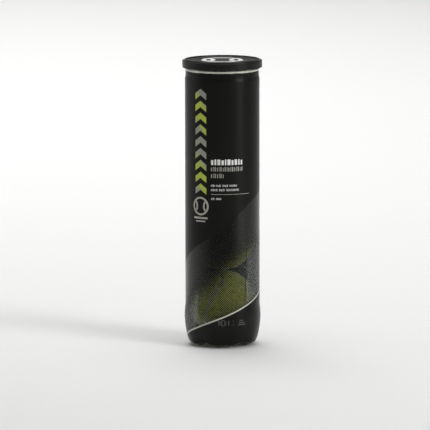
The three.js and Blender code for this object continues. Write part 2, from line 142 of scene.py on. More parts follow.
Input = Value | float | tuple | bpy.types.NodeSocket


class Paint:
    """A material under construction."""

    def __init__(self, name: str) -> None:
        """Starts an empty node material called name."""
        self.material = bpy.data.materials.new(name)
        self.material.use_nodes = True
        self.tree = self.material.node_tree
        self.tree.nodes.clear()
        self.coordinates = self.node("ShaderNodeTexCoord").outputs["Object"]

    def node(self, kind: str, settings: dict | None = None, sockets: dict | None = None) -> bpy.types.Node:
        """Adds a node.

        Args:
            kind: The node's type.
            settings: Its properties, set first. "points" fills a curve.
            sockets: Values or links by socket name or number.

        Returns:
            The node.
        """
        made = self.tree.nodes.new(kind)
        for key, setting in (settings or {}).items():
            if key == "points":
                self._fill_curve(made.mapping, setting)
            else:
                setattr(made, key, setting)
        for key, wanted in (sockets or {}).items():
            source = wanted.socket if isinstance(wanted, Value) else wanted
            if isinstance(source, bpy.types.NodeSocket):
                self.tree.links.new(source, made.inputs[key])
            else:
                made.inputs[key].default_value = source
        return made

    @staticmethod
    def _fill_curve(mapping: bpy.types.CurveMapping, points: Profile) -> None:
        """Gives a float curve its points."""
        curve = mapping.curves[0]
        while len(curve.points) < len(points):
            curve.points.new(0.5, 0.5)
        for point, place in zip(curve.points, points):
            point.location = place
        mapping.update()

    def position(self) -> tuple[Value, Value, Value]:
        """The surface point's X, Y and Z on the piece."""
        split = self.node("ShaderNodeSeparateXYZ", None, {0: self.coordinates})
        return tuple(Value(self, output) for output in split.outputs)

    def stretched(self, scale: tuple[float, float, float]) -> bpy.types.NodeSocket:
        """The piece's coordinates, scaled by axis."""
        return self.node("ShaderNodeMapping", None, {"Vector": self.coordinates, "Scale": scale}).outputs[0]

    def noise(
        self,
        scale: float,
        detail: float = 3.0,
        roughness: float = 0.55,
        vector: bpy.types.NodeSocket | None = None,
    ) -> Value:
        """Soft random variation.

        Args:
            scale: How fine it is, in cells a metre.
            detail: How many finer layers it has.
            roughness: How strong those are.
            vector: Coordinates other than the piece's own.

        Returns:
            A value round 0.5.
        """
        sockets = {
            "Vector": vector or self.coordinates,
            "Scale": scale,
            "Detail": detail,
            "Roughness": roughness,
        }
        return Value(self, self.node("ShaderNodeTexNoise", None, sockets).outputs[0])

    def cells(self, scale: float, vector: bpy.types.NodeSocket | None = None) -> Value:
        """The distance to the nearest of many scattered points."""
        sockets = {"Vector": vector or self.coordinates, "Scale": scale}
        return Value(self, self.node("ShaderNodeTexVoronoi", None, sockets).outputs["Distance"])

    def blend(self, share: Input, low: Input, high: Input) -> bpy.types.NodeSocket:
        """Mixes two colors.

        Args:
            share: 0 for low and 1 for high.
            low: One color.
            high: The other.

        Returns:
            The mixed color.
        """
        sockets = {"Factor": share, 6: self._opaque(low), 7: self._opaque(high)}
        return self.node("ShaderNodeMix", {"data_type": "RGBA"}, sockets).outputs[2]

    @staticmethod
    def _opaque(color: Input) -> Input:
        """A plain color with its alpha added, and anything else as it is."""
        return (*color, 1.0) if isinstance(color, tuple) and len(color) == 3 else color

    def bump(self, height: Value, distance: float, strength: float = 1.0) -> bpy.types.NodeSocket:
        """A normal tilted by height.

        Args:
            height: The relief, from 0 to 1.
            distance: What 1 stands for, in metres.
            strength: How much of it shows.

        Returns:
            The normal.
        """
        sockets = {"Height": height, "Distance": distance, "Strength": strength}
        return self.node("ShaderNodeBump", None, sockets).outputs[0]

    def surface(self, **inputs: Input) -> bpy.types.NodeSocket:
        """A Principled shader.

        Args:
            inputs: Its sockets, with _ for each space of their names.

        Returns:
            The shader.
        """
        named = {key.replace("_", " "): self._opaque(wanted) for key, wanted in inputs.items()}
        named = {key.replace("Ior", "IOR"): wanted for key, wanted in named.items()}
        return self.node("ShaderNodeBsdfPrincipled", None, named).outputs[0]

    def done(self, shader: bpy.types.NodeSocket) -> bpy.types.Material:
        """Connects the shader and returns the material."""
        self.node("ShaderNodeOutputMaterial", None, {"Surface": shader})
        return self.material


# ---- Finishes ------------------------------------------------------------------------------------


@dataclass(frozen=True)
class ClearPet:
    """Clear blown plastic: it mirrors at its edges and lets the rest through."""

    tint: Color = (0.90, 0.93, 0.915)
    roughness: float = 0.16
    facing: float = 0.30
    ripple: float = 0.00025

    def material(self) -> bpy.types.Material:
        """Builds the finish."""
        paint = Paint("clear_pet")
        along = paint.noise(26, 2, 0.4, paint.stretched((1.0, 1.0, 0.35)))
        normal = paint.bump(along, self.ripple, 0.6)
        mirror = {"Color": (1, 1, 1, 1), "Roughness": self.roughness, "Normal": normal}
        gloss = paint.node("ShaderNodeBsdfGlossy", None, mirror)
        clear = paint.node("ShaderNodeBsdfTransparent", None, {"Color": (*self.tint, 1)})
        edge = paint.node("ShaderNodeLayerWeight", None, {"Blend": self.facing, "Normal": normal})
        share = Value(paint, edge.outputs["Fresnel"]) * 0.8 + 0.015
        mixed = paint.node("ShaderNodeMixShader", None, {0: share, 1: clear.outputs[0], 2: gloss.outputs[0]})
        return paint.done(mixed.outputs[0])


@dataclass(frozen=True)
class PrintedFilm:
    """Black print on clear shrink film, with a slanted window that fades open through a dot screen."""

    ink: Color = (0.0038, 0.0037, 0.0031)
    dot_ink: Color = (0.0009, 0.0009, 0.0006)
    coat_tint: Color = (1.0, 0.98, 0.84)
    line: Color = (0.60, 0.585, 0.49)
    line_width: float = 1.5 * MM
    lower_height: float = 32.9 * MM
    lower_slope: float = 0.272 * MM
    lower_bend: float = 0.00009 * MM
    window_heights: tuple[tuple[float, float], ...] = (
        (-180, 0),
        (-140, 0),
        (-77, 73),
        (0, 88),
        (62, 101),
        (100, 94),
        (150, 0),
        (180, 0),
    )
    height_scale: float = 110 * MM
    solid_until: float = 20 * MM
    open_from: float = 64 * MM
    dot_pitch: float = 2.3 * MM
    full_dot: float = 0.62
    open_dot: float = 0.36
    overlap_turn: float = 34.0
    overlap_lean: float = 60.0
    overlap_width: float = 0.9
    shiny_turns: tuple[float, float] = (10, 40)
    shiny_share: tuple[float, float] = (0.04, 0.6)
    radius: float = 37.3 * MM
    roughness: float = 0.30

    def material(self) -> bpy.types.Material:
        """Builds the finish."""
        paint = Paint("printed_film")
        x, y, z = paint.position()
        turn = x.math("ARCTAN2", y * -1.0)
        degrees = turn * math.degrees(1)
        above = z - (degrees * self.lower_slope + degrees * degrees * self.lower_bend + self.lower_height)
        below = self.window_height(paint, degrees) - above
        window = above.ramp(-0.1 * MM, 0.1 * MM) * below.ramp(-0.15 * MM, 0.15 * MM)
        dots = self.dots(turn * self.radius, z, below)
        overlap = abs(degrees - z * self.overlap_lean - self.overlap_turn)
        overlap = overlap.ramp(self.overlap_width * 0.4, self.overlap_width * 0.6, 1, 0)
        clear = window * (1.0 - dots) * (1.0 - overlap)
        gloss_share = window * abs(degrees).ramp(*self.shiny_turns, *self.shiny_share)
        stripe = above.ramp(-self.line_width - 0.1 * MM, -self.line_width + 0.1 * MM)
        stripe = stripe * above.ramp(-0.1 * MM, 0.1 * MM, 1, 0) * below.ramp(2 * MM, 6 * MM)
        grain = paint.noise(900, 2)
        ink = paint.blend(grain, self.ink, tuple(1.5 * c for c in self.ink))
        color = paint.blend(stripe, paint.blend(window, ink, self.dot_ink), self.line)
        gloss = paint.noise(38, 3) * 0.10 + (self.roughness - 0.05) + paint.noise(700, 2) * 0.05
        waves = paint.noise(30, 2, 0.4, paint.stretched((1, 1, 0.3))) + paint.noise(160, 3) * 0.12
        shader = paint.surface(
            Base_Color=color,
            Roughness=gloss,
            Specular_IOR_Level=0.16,
            Coat_Weight=gloss_share,
            Coat_Roughness=0.28,
            Coat_Tint=(*self.coat_tint, 1),
            Alpha=1.0 - clear * 0.97,
            Normal=paint.bump(waves, 0.35 * MM, 0.5),
        )
        return paint.done(shader)

    def window_height(self, paint: Paint, degrees: Value) -> Value:
        """The window's height over its lower edge, all round the can.

        Args:
            paint: The material being built.
            degrees: The angle from the can's front.

        Returns:
            The height in metres.
        """
        points = [(turn / 360 + 0.5, height * MM / self.height_scale) for turn, height in self.window_heights]
        curve = paint.node("ShaderNodeFloatCurve", {"points": points}, {"Value": degrees / 360 + 0.5})
        return Value(paint, curve.outputs[0]) * self.height_scale

    def dots(self, around: Value, height: Value, below: Value) -> Value:
        """The staggered dots of ink in the window.

        Args:
            around: The length round the can.
            height: The height up the can.
            below: How far under the window's upper edge.

        Returns:
            1 in a dot and 0 between the dots.
        """
        across = ((around + height) / self.dot_pitch).math("FRACT") - 0.5
        down = ((around - height) / self.dot_pitch).math("FRACT") - 0.5
        from_middle = (across * across + down * down).math("SQRT")
        size = below.ramp(self.solid_until, self.open_from, self.full_dot, self.open_dot)
        return (size - from_middle).ramp(-0.05, 0.05)


@dataclass(frozen=True)
class Ink:
    """Print laid over the black film, fading between two colors up the can."""

    name: str
    low: Color
    high: Color
    period: float = 62 * MM
    roughness: float = 0.42

    def material(self) -> bpy.types.Material:
        """Builds the finish."""
        paint = Paint(self.name)
        x, _, z = paint.position()
        wave = ((z + x * 1.6) * (FULL_TURN / self.period)).math("SINE")
        share = wave.ramp(-0.5, 0.7)
        mottled = paint.noise(1400, 2).ramp(0.35, 0.7, 0.82, 1.0)
        color = paint.blend(share, self.low, self.high)
        worn = paint.node("ShaderNodeMix", {"data_type": "RGBA", "blend_type": "MULTIPLY"}, {"Factor": 1.0})
        paint.tree.links.new(color, worn.inputs[6])
        grey = paint.node("ShaderNodeCombineColor", None, {0: mottled, 1: mottled, 2: mottled})
        paint.tree.links.new(grey.outputs[0], worn.inputs[7])
        rough = self.roughness + paint.noise(500, 2) * 0.1
        return paint.done(paint.surface(Base_Color=worn.outputs[2], Roughness=rough))


@dataclass(frozen=True)
class SheetMetal:
    """Bright stamped sheet, brushed along one way."""

    name: str
    color: Color = (0.80, 0.80, 0.805)
    roughness: float = 0.2
    grain: tuple[float, float, float] = (1.0, 14.0, 1.0)

    def material(self) -> bpy.types.Material:
        """Builds the finish."""
        paint = Paint(self.name)
        lines = paint.noise(260, 4, 0.6, paint.stretched(self.grain))
        cloud = paint.noise(60, 3)
        color = paint.blend(cloud, self.color, tuple(0.86 * c for c in self.color))
        shader = paint.surface(
            Base_Color=color,
            Metallic=1.0,
            Roughness=lines * 0.16 + (self.roughness - 0.05) + cloud.ramp(0.55, 0.8, 0, 0.08),
            Normal=paint.bump(lines, 0.02 * MM, 0.4),
        )
        return paint.done(shader)


@dataclass(frozen=True)
class MouldedPlastic:
    """Black moulded plastic with a fine sparked grain and scattered scuffs."""

    name: str
    color: Color = (0.0050, 0.0048, 0.0040)
    scuffed: Color = (0.022, 0.021, 0.019)
    roughness: float = 0.36

    def material(self) -> bpy.types.Material:
        """Builds the finish."""
        paint = Paint(self.name)
        grain = paint.noise(2600, 2, 0.6)
        cloud = paint.noise(45, 4)
        scratches = paint.noise(420, 3, 0.7, paint.stretched((0.12, 1.0, 1.0))).ramp(0.64, 0.74)
        color = paint.blend(scratches * cloud.ramp(0.4, 0.65), self.color, self.scuffed)
        shader = paint.surface(
            Base_Color=color,
            Roughness=cloud * 0.12 + grain * 0.06 + (self.roughness - 0.09) + scratches * 0.1,
            Specular_IOR_Level=0.25,
            Normal=paint.bump(grain, 0.03 * MM, 0.5),
        )
        return paint.done(shader)


@dataclass(frozen=True)
class Felt:
    """Napped yellow felt."""

    name: str = "felt"
    color: Color = (0.78, 0.74, 0.025)
    shaded: Color = (0.46, 0.44, 0.014)
    pale: Color = (0.86, 0.84, 0.20)

    def material(self) -> bpy.types.Material:
        """Builds the finish."""
        paint = Paint(self.name)
        tufts = paint.noise(620, 4, 0.7)
        matted = paint.noise(110, 3)
        fibres = paint.cells(1500)
        # Painted shade: the felt is darker in the hollows between the tufts, where the bump is low.
        color = paint.blend(tufts.ramp(0.36, 0.60), self.shaded, self.color)
        color = paint.blend(matted.ramp(0.5, 0.75) * fibres.ramp(0.2, 0.6) * 0.7, color, self.pale)
        shader = paint.surface(
            Base_Color=color,
            Roughness=0.95 - fibres * 0.1,
            Specular_IOR_Level=0.15,
            Sheen_Weight=0.5,
            Sheen_Roughness=0.5,
            Normal=paint.bump(tufts + fibres * 0.5, 0.5 * MM, 0.7),
        )
        return paint.done(shader)


@dataclass(frozen=True)
class Rubber:
    """Dull rubber or sealing compound, dusty in its pores."""

    name: str
    color: Color
    dusty: Color
    roughness: float = 0.75

    def material(self) -> bpy.types.Material:
        """Builds the finish."""
        paint = Paint(self.name)
        dust = paint.noise(220, 4, 0.65)
        pores = paint.cells(1800)
        shader = paint.surface(
            Base_Color=paint.blend(dust.ramp(0.45, 0.7), self.color, self.dusty),
            Roughness=self.roughness + dust * 0.15 - 0.07,
            Normal=paint.bump(pores + dust, 0.06 * MM, 0.6),
        )
        return paint.done(shader)


@dataclass(frozen=True)
class StudioPaper:
    """The pale paper that the can stands on."""

    color: Color = (0.83, 0.83, 0.825)
    far_glow: Color = (0.24, 0.24, 0.237)
    glow_start: float = 3.8
    glow_full: float = 6.5

    def material(self) -> bpy.types.Material:
        """Builds the finish."""
        paint = Paint("studio_paper")
        fibre = paint.noise(90, 3)
        color = paint.blend(fibre, self.color, tuple(0.985 * c for c in self.color))
        x, y, _ = paint.position()
        far = (x * x + y * y).math("SQRT").ramp(self.glow_start, self.glow_full)
        glow = paint.blend(far, (0.0, 0.0, 0.0), self.far_glow)
        shader = paint.surface(
            Base_Color=color,
            Roughness=0.9,
            Specular_IOR_Level=0.1,
            Emission_Color=glow,
            Emission_Strength=1.0,
        )
        return paint.done(shader)


# ---- Meshes --------------------------------------------------------------------------------------


def eased(share: float) -> float:
    """Share held between 0 and 1, with a gentle start and end."""
    share = min(max(share, 0.0), 1.0)
    return share * share * (3 - 2 * share)


def smooth_line(points: Profile, steps: int) -> Profile:
    """A smooth line through a few points.

    Args:
        points: The points that it passes.
        steps: How many straight stretches it is drawn with.

    Returns:
        The line's points.
    """
    spans = len(points) - 1
    line = []
    for step in range(steps + 1):
        along = step / steps * spans
        span = min(int(along), spans - 1)
        share = along - span
        around = [Vector(points[min(max(i, 0), spans)]) for i in range(span - 1, span + 3)]
        before, start, end, after = around
        leave, arrive = (end - before) / 2, (after - start) / 2
        place = (2 * start - 2 * end + leave + arrive) * share**3
        place += (3 * end - 3 * start - 2 * leave - arrive) * share**2 + leave * share + start
        line.append((max(place.x, 0.0), place.y))
    return line


def offset_line(line: Profile, distance: float) -> Profile:
    """The line moved to its left, and up or down where it leaves the axis.

    Args:
        line: Radii and heights.
        distance: How far to the left.

    Returns:
        The moved line.
    """
    moved = []
    for i, (radius, height) in enumerate(line):
        if radius == 0:
            moved.append((0.0, height + distance))
            continue
        before, after = Vector(line[max(i - 1, 0)]), Vector(line[min(i + 1, len(line) - 1)])
        along = (after - before).normalized()
        moved.append((radius - along.y * distance, height + along.x * distance))
    return moved


def spun(profile: Profile, steps: int) -> bmesh.types.BMesh:
    """Turns a profile once round the Z axis.

    Args:
        profile: Radii and heights. It closes on itself unless it starts and ends on the axis.
        steps: How many faces go round.

    Returns:
        The closed body, with each vertex's place in the profile in its "row" layer.
    """
    bm = bmesh.new()
    row = bm.verts.layers.int.new("row")
    verts = [bm.verts.new((radius, 0, height)) for radius, height in profile]
    for number, vert in enumerate(verts):
        vert[row] = number
    pairs = list(zip(verts, verts[1:]))
    if profile[0][0] > 0 or profile[-1][0] > 0:
        pairs.append((verts[-1], verts[0]))
    edges = [bm.edges.new(pair) for pair in pairs]
    bmesh.ops.spin(
        bm, geom=verts + edges, cent=(0, 0, 0), axis=UP, angle=FULL_TURN, steps=steps, use_merge=True
    )
    bmesh.ops.remove_doubles(bm, verts=bm.verts, dist=1e-7)
    bmesh.ops.recalc_face_normals(bm, faces=bm.faces)
    return bm


def placed(bm: bmesh.types.BMesh, *matrices: Matrix) -> bmesh.types.BMesh:
    """Moves a whole mesh by each matrix in turn."""
    for matrix in matrices:
        bmesh.ops.transform(bm, matrix=matrix, verts=bm.verts)
    return bm


def joined(parts: list[bmesh.types.BMesh]) -> bmesh.types.BMesh:
    """Puts several meshes into one, each as a body of its own."""
    whole = bmesh.new()
    for part in parts:
        carrier = bpy.data.meshes.new("carrier")
        part.to_mesh(carrier)
        part.free()
        whole.from_mesh(carrier)
        bpy.data.meshes.remove(carrier)
    return whole


@dataclass(frozen=True)
class Place:
    """Where a finished piece belongs."""

    body: str
    slot: str
    stands_for: tuple[str, ...] = ()


def make_piece(
    name: str, bm: bmesh.types.BMesh, material: bpy.types.Material, place: Place, sharp: float = 40.0
) -> bpy.types.Object:
    """Turns a mesh under construction into a piece of the can.

    Args:
        name: The piece's name.
        bm: Its shape, in its place.
        material: Its finish.
        place: The body it rides on and what it stands for.
        sharp: The angle from which an edge is kept sharp, in degrees.

    Returns:
        The piece.
    """
    mesh = bpy.data.meshes.new(name)
    bm.to_mesh(mesh)
    bm.free()
    mesh.shade_smooth()
    mesh.set_sharp_from_angle(angle=math.radians(sharp))
    mesh.materials.append(material)
    piece = bpy.data.objects.new(name, mesh)
    bpy.context.scene.collection.objects.link(piece)
    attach(piece, place.body)
    if place.stands_for:
        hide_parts(*place.stands_for)
    log.info("%s: %d faces on %s", name, len(mesh.polygons), place.body)
    return piece


def rounded(corners: list[Corner], steps: int = 4) -> Profile:
    """A profile with rounded corners.

    Args:
        corners: Each corner's radius, height and how far from it the rounding starts.
        steps: How many straight stretches a rounding has.

    Returns:
        The profile's points.
    """
    points = []
    for i, (radius, height, cut) in enumerate(corners):
        here = Vector((radius, height))
        if cut == 0:
            points.append((radius, height))
            continue
        before, after = Vector(corners[i - 1][:2]), Vector(corners[(i + 1) % len(corners)][:2])
        start, end = here + cut * (before - here).normalized(), here + cut * (after - here).normalized()
        for step in range(steps + 1):
            share = step / steps
            place = start * (1 - share) ** 2 + here * 2 * share * (1 - share) + end * share**2
            points.append((place.x, place.y))
    return points


def ellipse(center: tuple[float, float], half_width: float, half_height: float, steps: int = 48) -> Profile:
    """The points of an ellipse."""
    turns = [FULL_TURN * step / steps for step in range(steps)]
    return [(center[0] + half_width * math.cos(t), center[1] + half_height * math.sin(t)) for t in turns]


def plate(
    loops: list[Profile], thickness: float, rounding: float = 0.0, bottom: float = 0.0
) -> bmesh.types.BMesh:
    """A flat plate with holes and rounded rims.

    Args:
        loops: Its outlines and its holes.
        thickness: How thick it is.
        rounding: The rims' radius.
        bottom: The height of its underside.

    Returns:
        The plate, lying flat.
    """
    curve = bpy.data.curves.new("plate", "CURVE")
    curve.dimensions = "2D"
    curve.fill_mode = "BOTH"
    curve.extrude = thickness / 2 - rounding
    curve.bevel_depth = rounding
    curve.bevel_resolution = 3
    curve.offset = -rounding
    for loop in loops:
        spline = curve.splines.new("POLY")
        spline.points.add(len(loop) - 1)
        for point, (x, y) in zip(spline.points, loop):
            point.co = (x, y, 0, 1)
        spline.use_cyclic_u = True
    holder = bpy.data.objects.new("plate", curve)
    bpy.context.scene.collection.objects.link(holder)
    evaluated = holder.evaluated_get(bpy.context.evaluated_depsgraph_get())
    mesh = bpy.data.meshes.new_from_object(evaluated)
    bm = bmesh.new()
    bm.from_mesh(mesh)
    bpy.data.objects.remove(holder)
    bpy.data.curves.remove(curve)
    bpy.data.meshes.remove(mesh)
    bmesh.ops.remove_doubles(bm, verts=bm.verts, dist=1e-7)
    bmesh.ops.recalc_face_normals(bm, faces=bm.faces)
    return placed(bm, Matrix.Translation((0, 0, bottom + thickness / 2)))


# ---- Bottle and sleeve ---------------------------------------------------------------------------


@dataclass
class Base:
    """The five-footed base that the bottle and its sleeve share."""

    wall: float
    rise: float = 7.7 * MM
    feet: int = 5
    bulge: float = 0.9 * MM
    bulge_height: float = 30 * MM
    wall_start: float = 42 * MM
    pad_outer: float = 10.4 * MM
    pad_width: float = 3 * MM
    valley_start: float = 0.25
    around: int = 240

    def heel(self, steps: int = 48) -> Profile:
        """A foot's outside, from its pad up to the straight wall."""
        points = [
            (self.wall - self.pad_outer, 0),
            (self.wall - 4.5 * MM, 3.2 * MM),
            (self.wall - 1.9 * MM, 8.4 * MM),
            (self.wall + 0.1 * MM, 18.6 * MM),
            (self.wall + self.bulge, self.bulge_height),
            (self.wall, self.wall_start),
        ]
        return smooth_line(points, steps)

    def foot(self) -> Profile:
        """The base's outside from the axis to the straight wall, through a foot."""
        pad = self.wall - self.pad_outer - self.pad_width
        points = [(0, self.rise), (self.wall * 0.27, self.rise - MM), (pad - 3.6 * MM, 1.6 * MM), (pad, 0)]
        return smooth_line(points, 24) + self.heel()

    def valley(self) -> Profile:
        """The same between two feet."""
        crown = [(0.0, 0.0), (0.22, 0.15), (0.4, 1.0), (0.52, 2.0)]
        flank = [(0.58, 2.7), (0.76, 6.0), (0.9, 11.0), (0.98, 17.5)]
        rise = [(self.wall * share, self.rise + height * MM) for share, height in crown + flank]
        widest = (self.wall + 0.9 * self.bulge, self.bulge_height + 2 * MM)
        return smooth_line(rise[:4], 24) + smooth_line([*rise[4:], widest, (self.wall, self.wall_start)], 48)

    def share(self, x: float, y: float) -> float:
        """0 on a foot's middle and 1 midway between two feet."""
        spacing = FULL_TURN / self.feet
        turn = math.atan2(x, -y)
        from_foot = abs(turn - spacing * round(turn / spacing)) / (spacing / 2)
        return eased((from_foot - self.valley_start) / (1 - self.valley_start))

    def petalled(self, foot: Profile, valley: Profile) -> bmesh.types.BMesh:
        """A closed body whose section changes from a foot to a valley.

        Args:
            foot: The section through a foot.
            valley: The section between two feet, with as many points.

        Returns:
            The body.
        """
        bm = spun(foot, self.around)
        row = bm.verts.layers.int["row"]
        for vert in bm.verts:
            number = vert[row]
            share = self.share(vert.co.x, vert.co.y)
            radius = foot[number][0] * (1 - share) + valley[number][0] * share
            height = foot[number][1] * (1 - share) + valley[number][1] * share
            flat = Vector((vert.co.x, vert.co.y))
            aim = flat.normalized() if flat.length > 1e-6 else flat
            vert.co = (aim.x * radius, aim.y * radius, height)
        bmesh.ops.recalc_face_normals(bm, faces=bm.faces)
        return bm


@dataclass
class Bottle:
    """The clear blown bottle, from its feet to the flange in the metal end's seam."""

    base: Base
    shoulder: float
    neck: float
    flange: float
    thickness: float = 0.6 * MM
    neck_inset: float = 0.6 * MM
    flange_reach: float = 1.15 * MM
    finish: ClearPet = field(default_factory=ClearPet)

    def section(self, outside: Profile, inside: Profile) -> Profile:
        """The whole wall's section over one of the base's lines."""
        outer, inner = self.base.wall, self.base.wall - self.thickness
        neck_outer, neck_inner = outer - self.neck_inset, inner - self.neck_inset
        bottom = self.flange - self.thickness
        neck = [
            (outer, self.shoulder, 0.8 * MM),
            (neck_outer, self.neck, 0.8 * MM),
            (neck_outer, bottom, 0.25 * MM),
            (neck_outer + self.flange_reach, bottom, 0),
            (neck_outer + self.flange_reach, self.flange, 0),
            (neck_inner, self.flange, 0.2 * MM),
            (neck_inner, self.neck, 0.8 * MM),
            (inner, self.shoulder, 0.8 * MM),
        ]
        turned = rounded([(outer, self.base.wall_start, 0), *neck, (inner, self.base.wall_start, 0)])
        return [*outside[:-1], *turned, *inside[-2::-1]]

    def build(self) -> None:
        """Makes the bottle."""
        foot, valley = self.base.foot(), self.base.valley()
        sections = [self.section(line, offset_line(line, self.thickness)) for line in (foot, valley)]
        place = Place("can", "clear_pet", ("pet_bottle",))
        make_piece("bottle", self.base.petalled(*sections), self.finish.material(), place, sharp=70)


@dataclass
class NeckBead:
    """The bead blown round the bottle's neck, just under the overcap. Its pale colour is a painted highlight
    for the light that shines through the clear neck there.
    """

    neck: float
    cap_rim: float
    drop: float = 1.2 * MM
    height: float = 1.7 * MM
    reach: float = 0.75 * MM
    # Painted highlight: both pale colours of the bead stand in for light shining through the clear neck.
    finish: Rubber = field(
        default_factory=lambda: Rubber("neck_painted_glint", (0.70, 0.69, 0.61), (0.80, 0.79, 0.71), 0.35)
    )

    def build(self) -> None:
        """Makes the bead."""
        top = self.cap_rim - self.drop
        inner, outer = self.neck - 0.05 * MM, self.neck + self.reach
        corners = [
            (inner, top - self.height, 0),
            (outer, top - self.height, 0.5 * MM),
            (outer, top, 0.5 * MM),
            (inner, top, 0),
        ]
        bm = spun(rounded(corners, 6), 200)
        make_piece("neck_bead", bm, self.finish.material(), Place("can", "clear_pet"), 60)


@dataclass
class Sleeve:
    """The shrink film over the bottle, taut over the feet and the shoulder."""

    base: Base
    shoulder: float
    neck: float
    top: float
    gap: float = 0.2 * MM
    thickness: float = 0.2 * MM
    drawn: float = 0.07 * MM
    neck_inset: float = 0.6 * MM
    foot_rows: int = 10
    valley_lift: float = 2.2 * MM
    tent: float = 1.6 * MM
    finish: PrintedFilm = field(default_factory=PrintedFilm)

    @property
    def face(self) -> float:
        """The printed face's radius on the straight wall."""
        return self.base.wall + self.gap + self.thickness

    def lines(self) -> tuple[Profile, Profile]:
        """The bottle's lines that the film follows over a foot and between two."""
        foot = self.base.heel()[self.foot_rows :]
        valley = []
        for radius, height in foot:
            sag = max(0.0, 1 - height / self.base.bulge_height)
            valley.append((radius - self.tent * sag, height + self.valley_lift * sag))
        return foot, valley

    def radius_at(self, turn: float, height: float) -> float:
        """The printed face's radius at any place.

        Args:
            turn: The angle from the front foot.
            height: The height.

        Returns:
            The radius.
        """
        share = self.base.share(math.sin(turn), -math.cos(turn))
        foot, valley = (np.interp(height, *reversed(list(zip(*line)))) for line in self.lines())
        return float(foot * (1 - share) + valley * share) + self.gap + self.thickness

    def section(self, line: Profile) -> Profile:
        """The film's section over one of the base's lines."""
        sides = []
        for gap in (self.gap + self.thickness, self.gap + self.thickness - self.drawn):
            wall = self.base.wall + gap
            upper = [
                (wall, self.base.wall_start, 0),
                (wall, self.shoulder, 0.9 * MM),
                (wall - self.neck_inset, self.neck, 0.9 * MM),
                (wall - self.neck_inset, self.top, 0),
            ]
            sides.append(offset_line(line, -gap)[:-1] + rounded(upper))
        return sides[0] + sides[1][::-1]

    def build(self) -> None:
        """Makes the film."""
        bm = self.base.petalled(*(self.section(line) for line in self.lines()))
        place = Place("can", "printed_film", ("shrink_sleeve",))
        make_piece("printed_sleeve", bm, self.finish.material(), place, sharp=70)


# ---- Print ---------------------------------------------------------------------------------------


def bar(left: float, low: float, width: float, height: float, lean: float = 0.0) -> Profile:
    """A straight block of print, leaning sideways by lean at its top."""
    right, high = left + width, low + height
    return [(left, low), (right, low), (right + lean, high), (left + lean, high)]


def ball_mark(center: tuple[float, float], radius: float, line: float) -> list[Profile]:
    """A plain ball sign: a ring with two curved seams.

    Args:
        center: Its middle.
        radius: The ring's outer radius.
        line: How wide its lines are.

    Returns:
        The outlines of its shapes.
    """
    loops = [ellipse(center, radius, radius, 72), ellipse(center, radius - line, radius - line, 72)[::-1]]
    inner = radius - line * 1.12
    away, bend = radius * 1.25, radius * 0.82
    for side in (-1, 1):
        edges = []
        for edge in (bend + line / 2, bend - line / 2):
            most = math.acos((away * away + edge * edge - inner * inner) / (2 * away * edge))
            turns = [most * (step / 12 - 1) for step in range(25)]
            edges.append([(side * (away - edge * math.cos(t)), edge * math.sin(t)) for t in turns])
        loop = edges[0] + edges[1][::-1]
        loops.append([(center[0] + x, center[1] + y) for x, y in loop])
    return loops


class Weight(Enum):
    """How bold a row of print is: each block's width, the gap and the share of it that is filled."""

    BOLD = (2.5, 1.15, 1.0)
    LIGHT = (1.35, 0.75, 0.62)
    FINE = (0.8, 0.45, 0.7)


@dataclass(frozen=True)
class Row:
    """A row of blocks in place of words.

    Widths come from a fixed list, so that the row looks set in type without saying anything.
    """

    left: float
    low: float
    width: float
    height: float
    weight: Weight
    gaps: tuple[int, ...] = ()

    def loops(self) -> list[Profile]:
        """The blocks' outlines."""
        block, gap, fill = self.weight.value
        sizes = (1.0, 0.72, 1.15, 0.9, 0.55, 1.2, 0.8, 1.05, 0.65)
        made = []
        along, number = 0.0, 0
        while along < self.width - block * 0.5:
            size = min(block * sizes[number % len(sizes)], self.width - along)
            if number not in self.gaps:
                tall = self.height if number % 3 else self.height * 0.86
                made.append(bar(self.left + along, self.low, size * fill, tall))
            along += size + gap
            number += 1
        return made


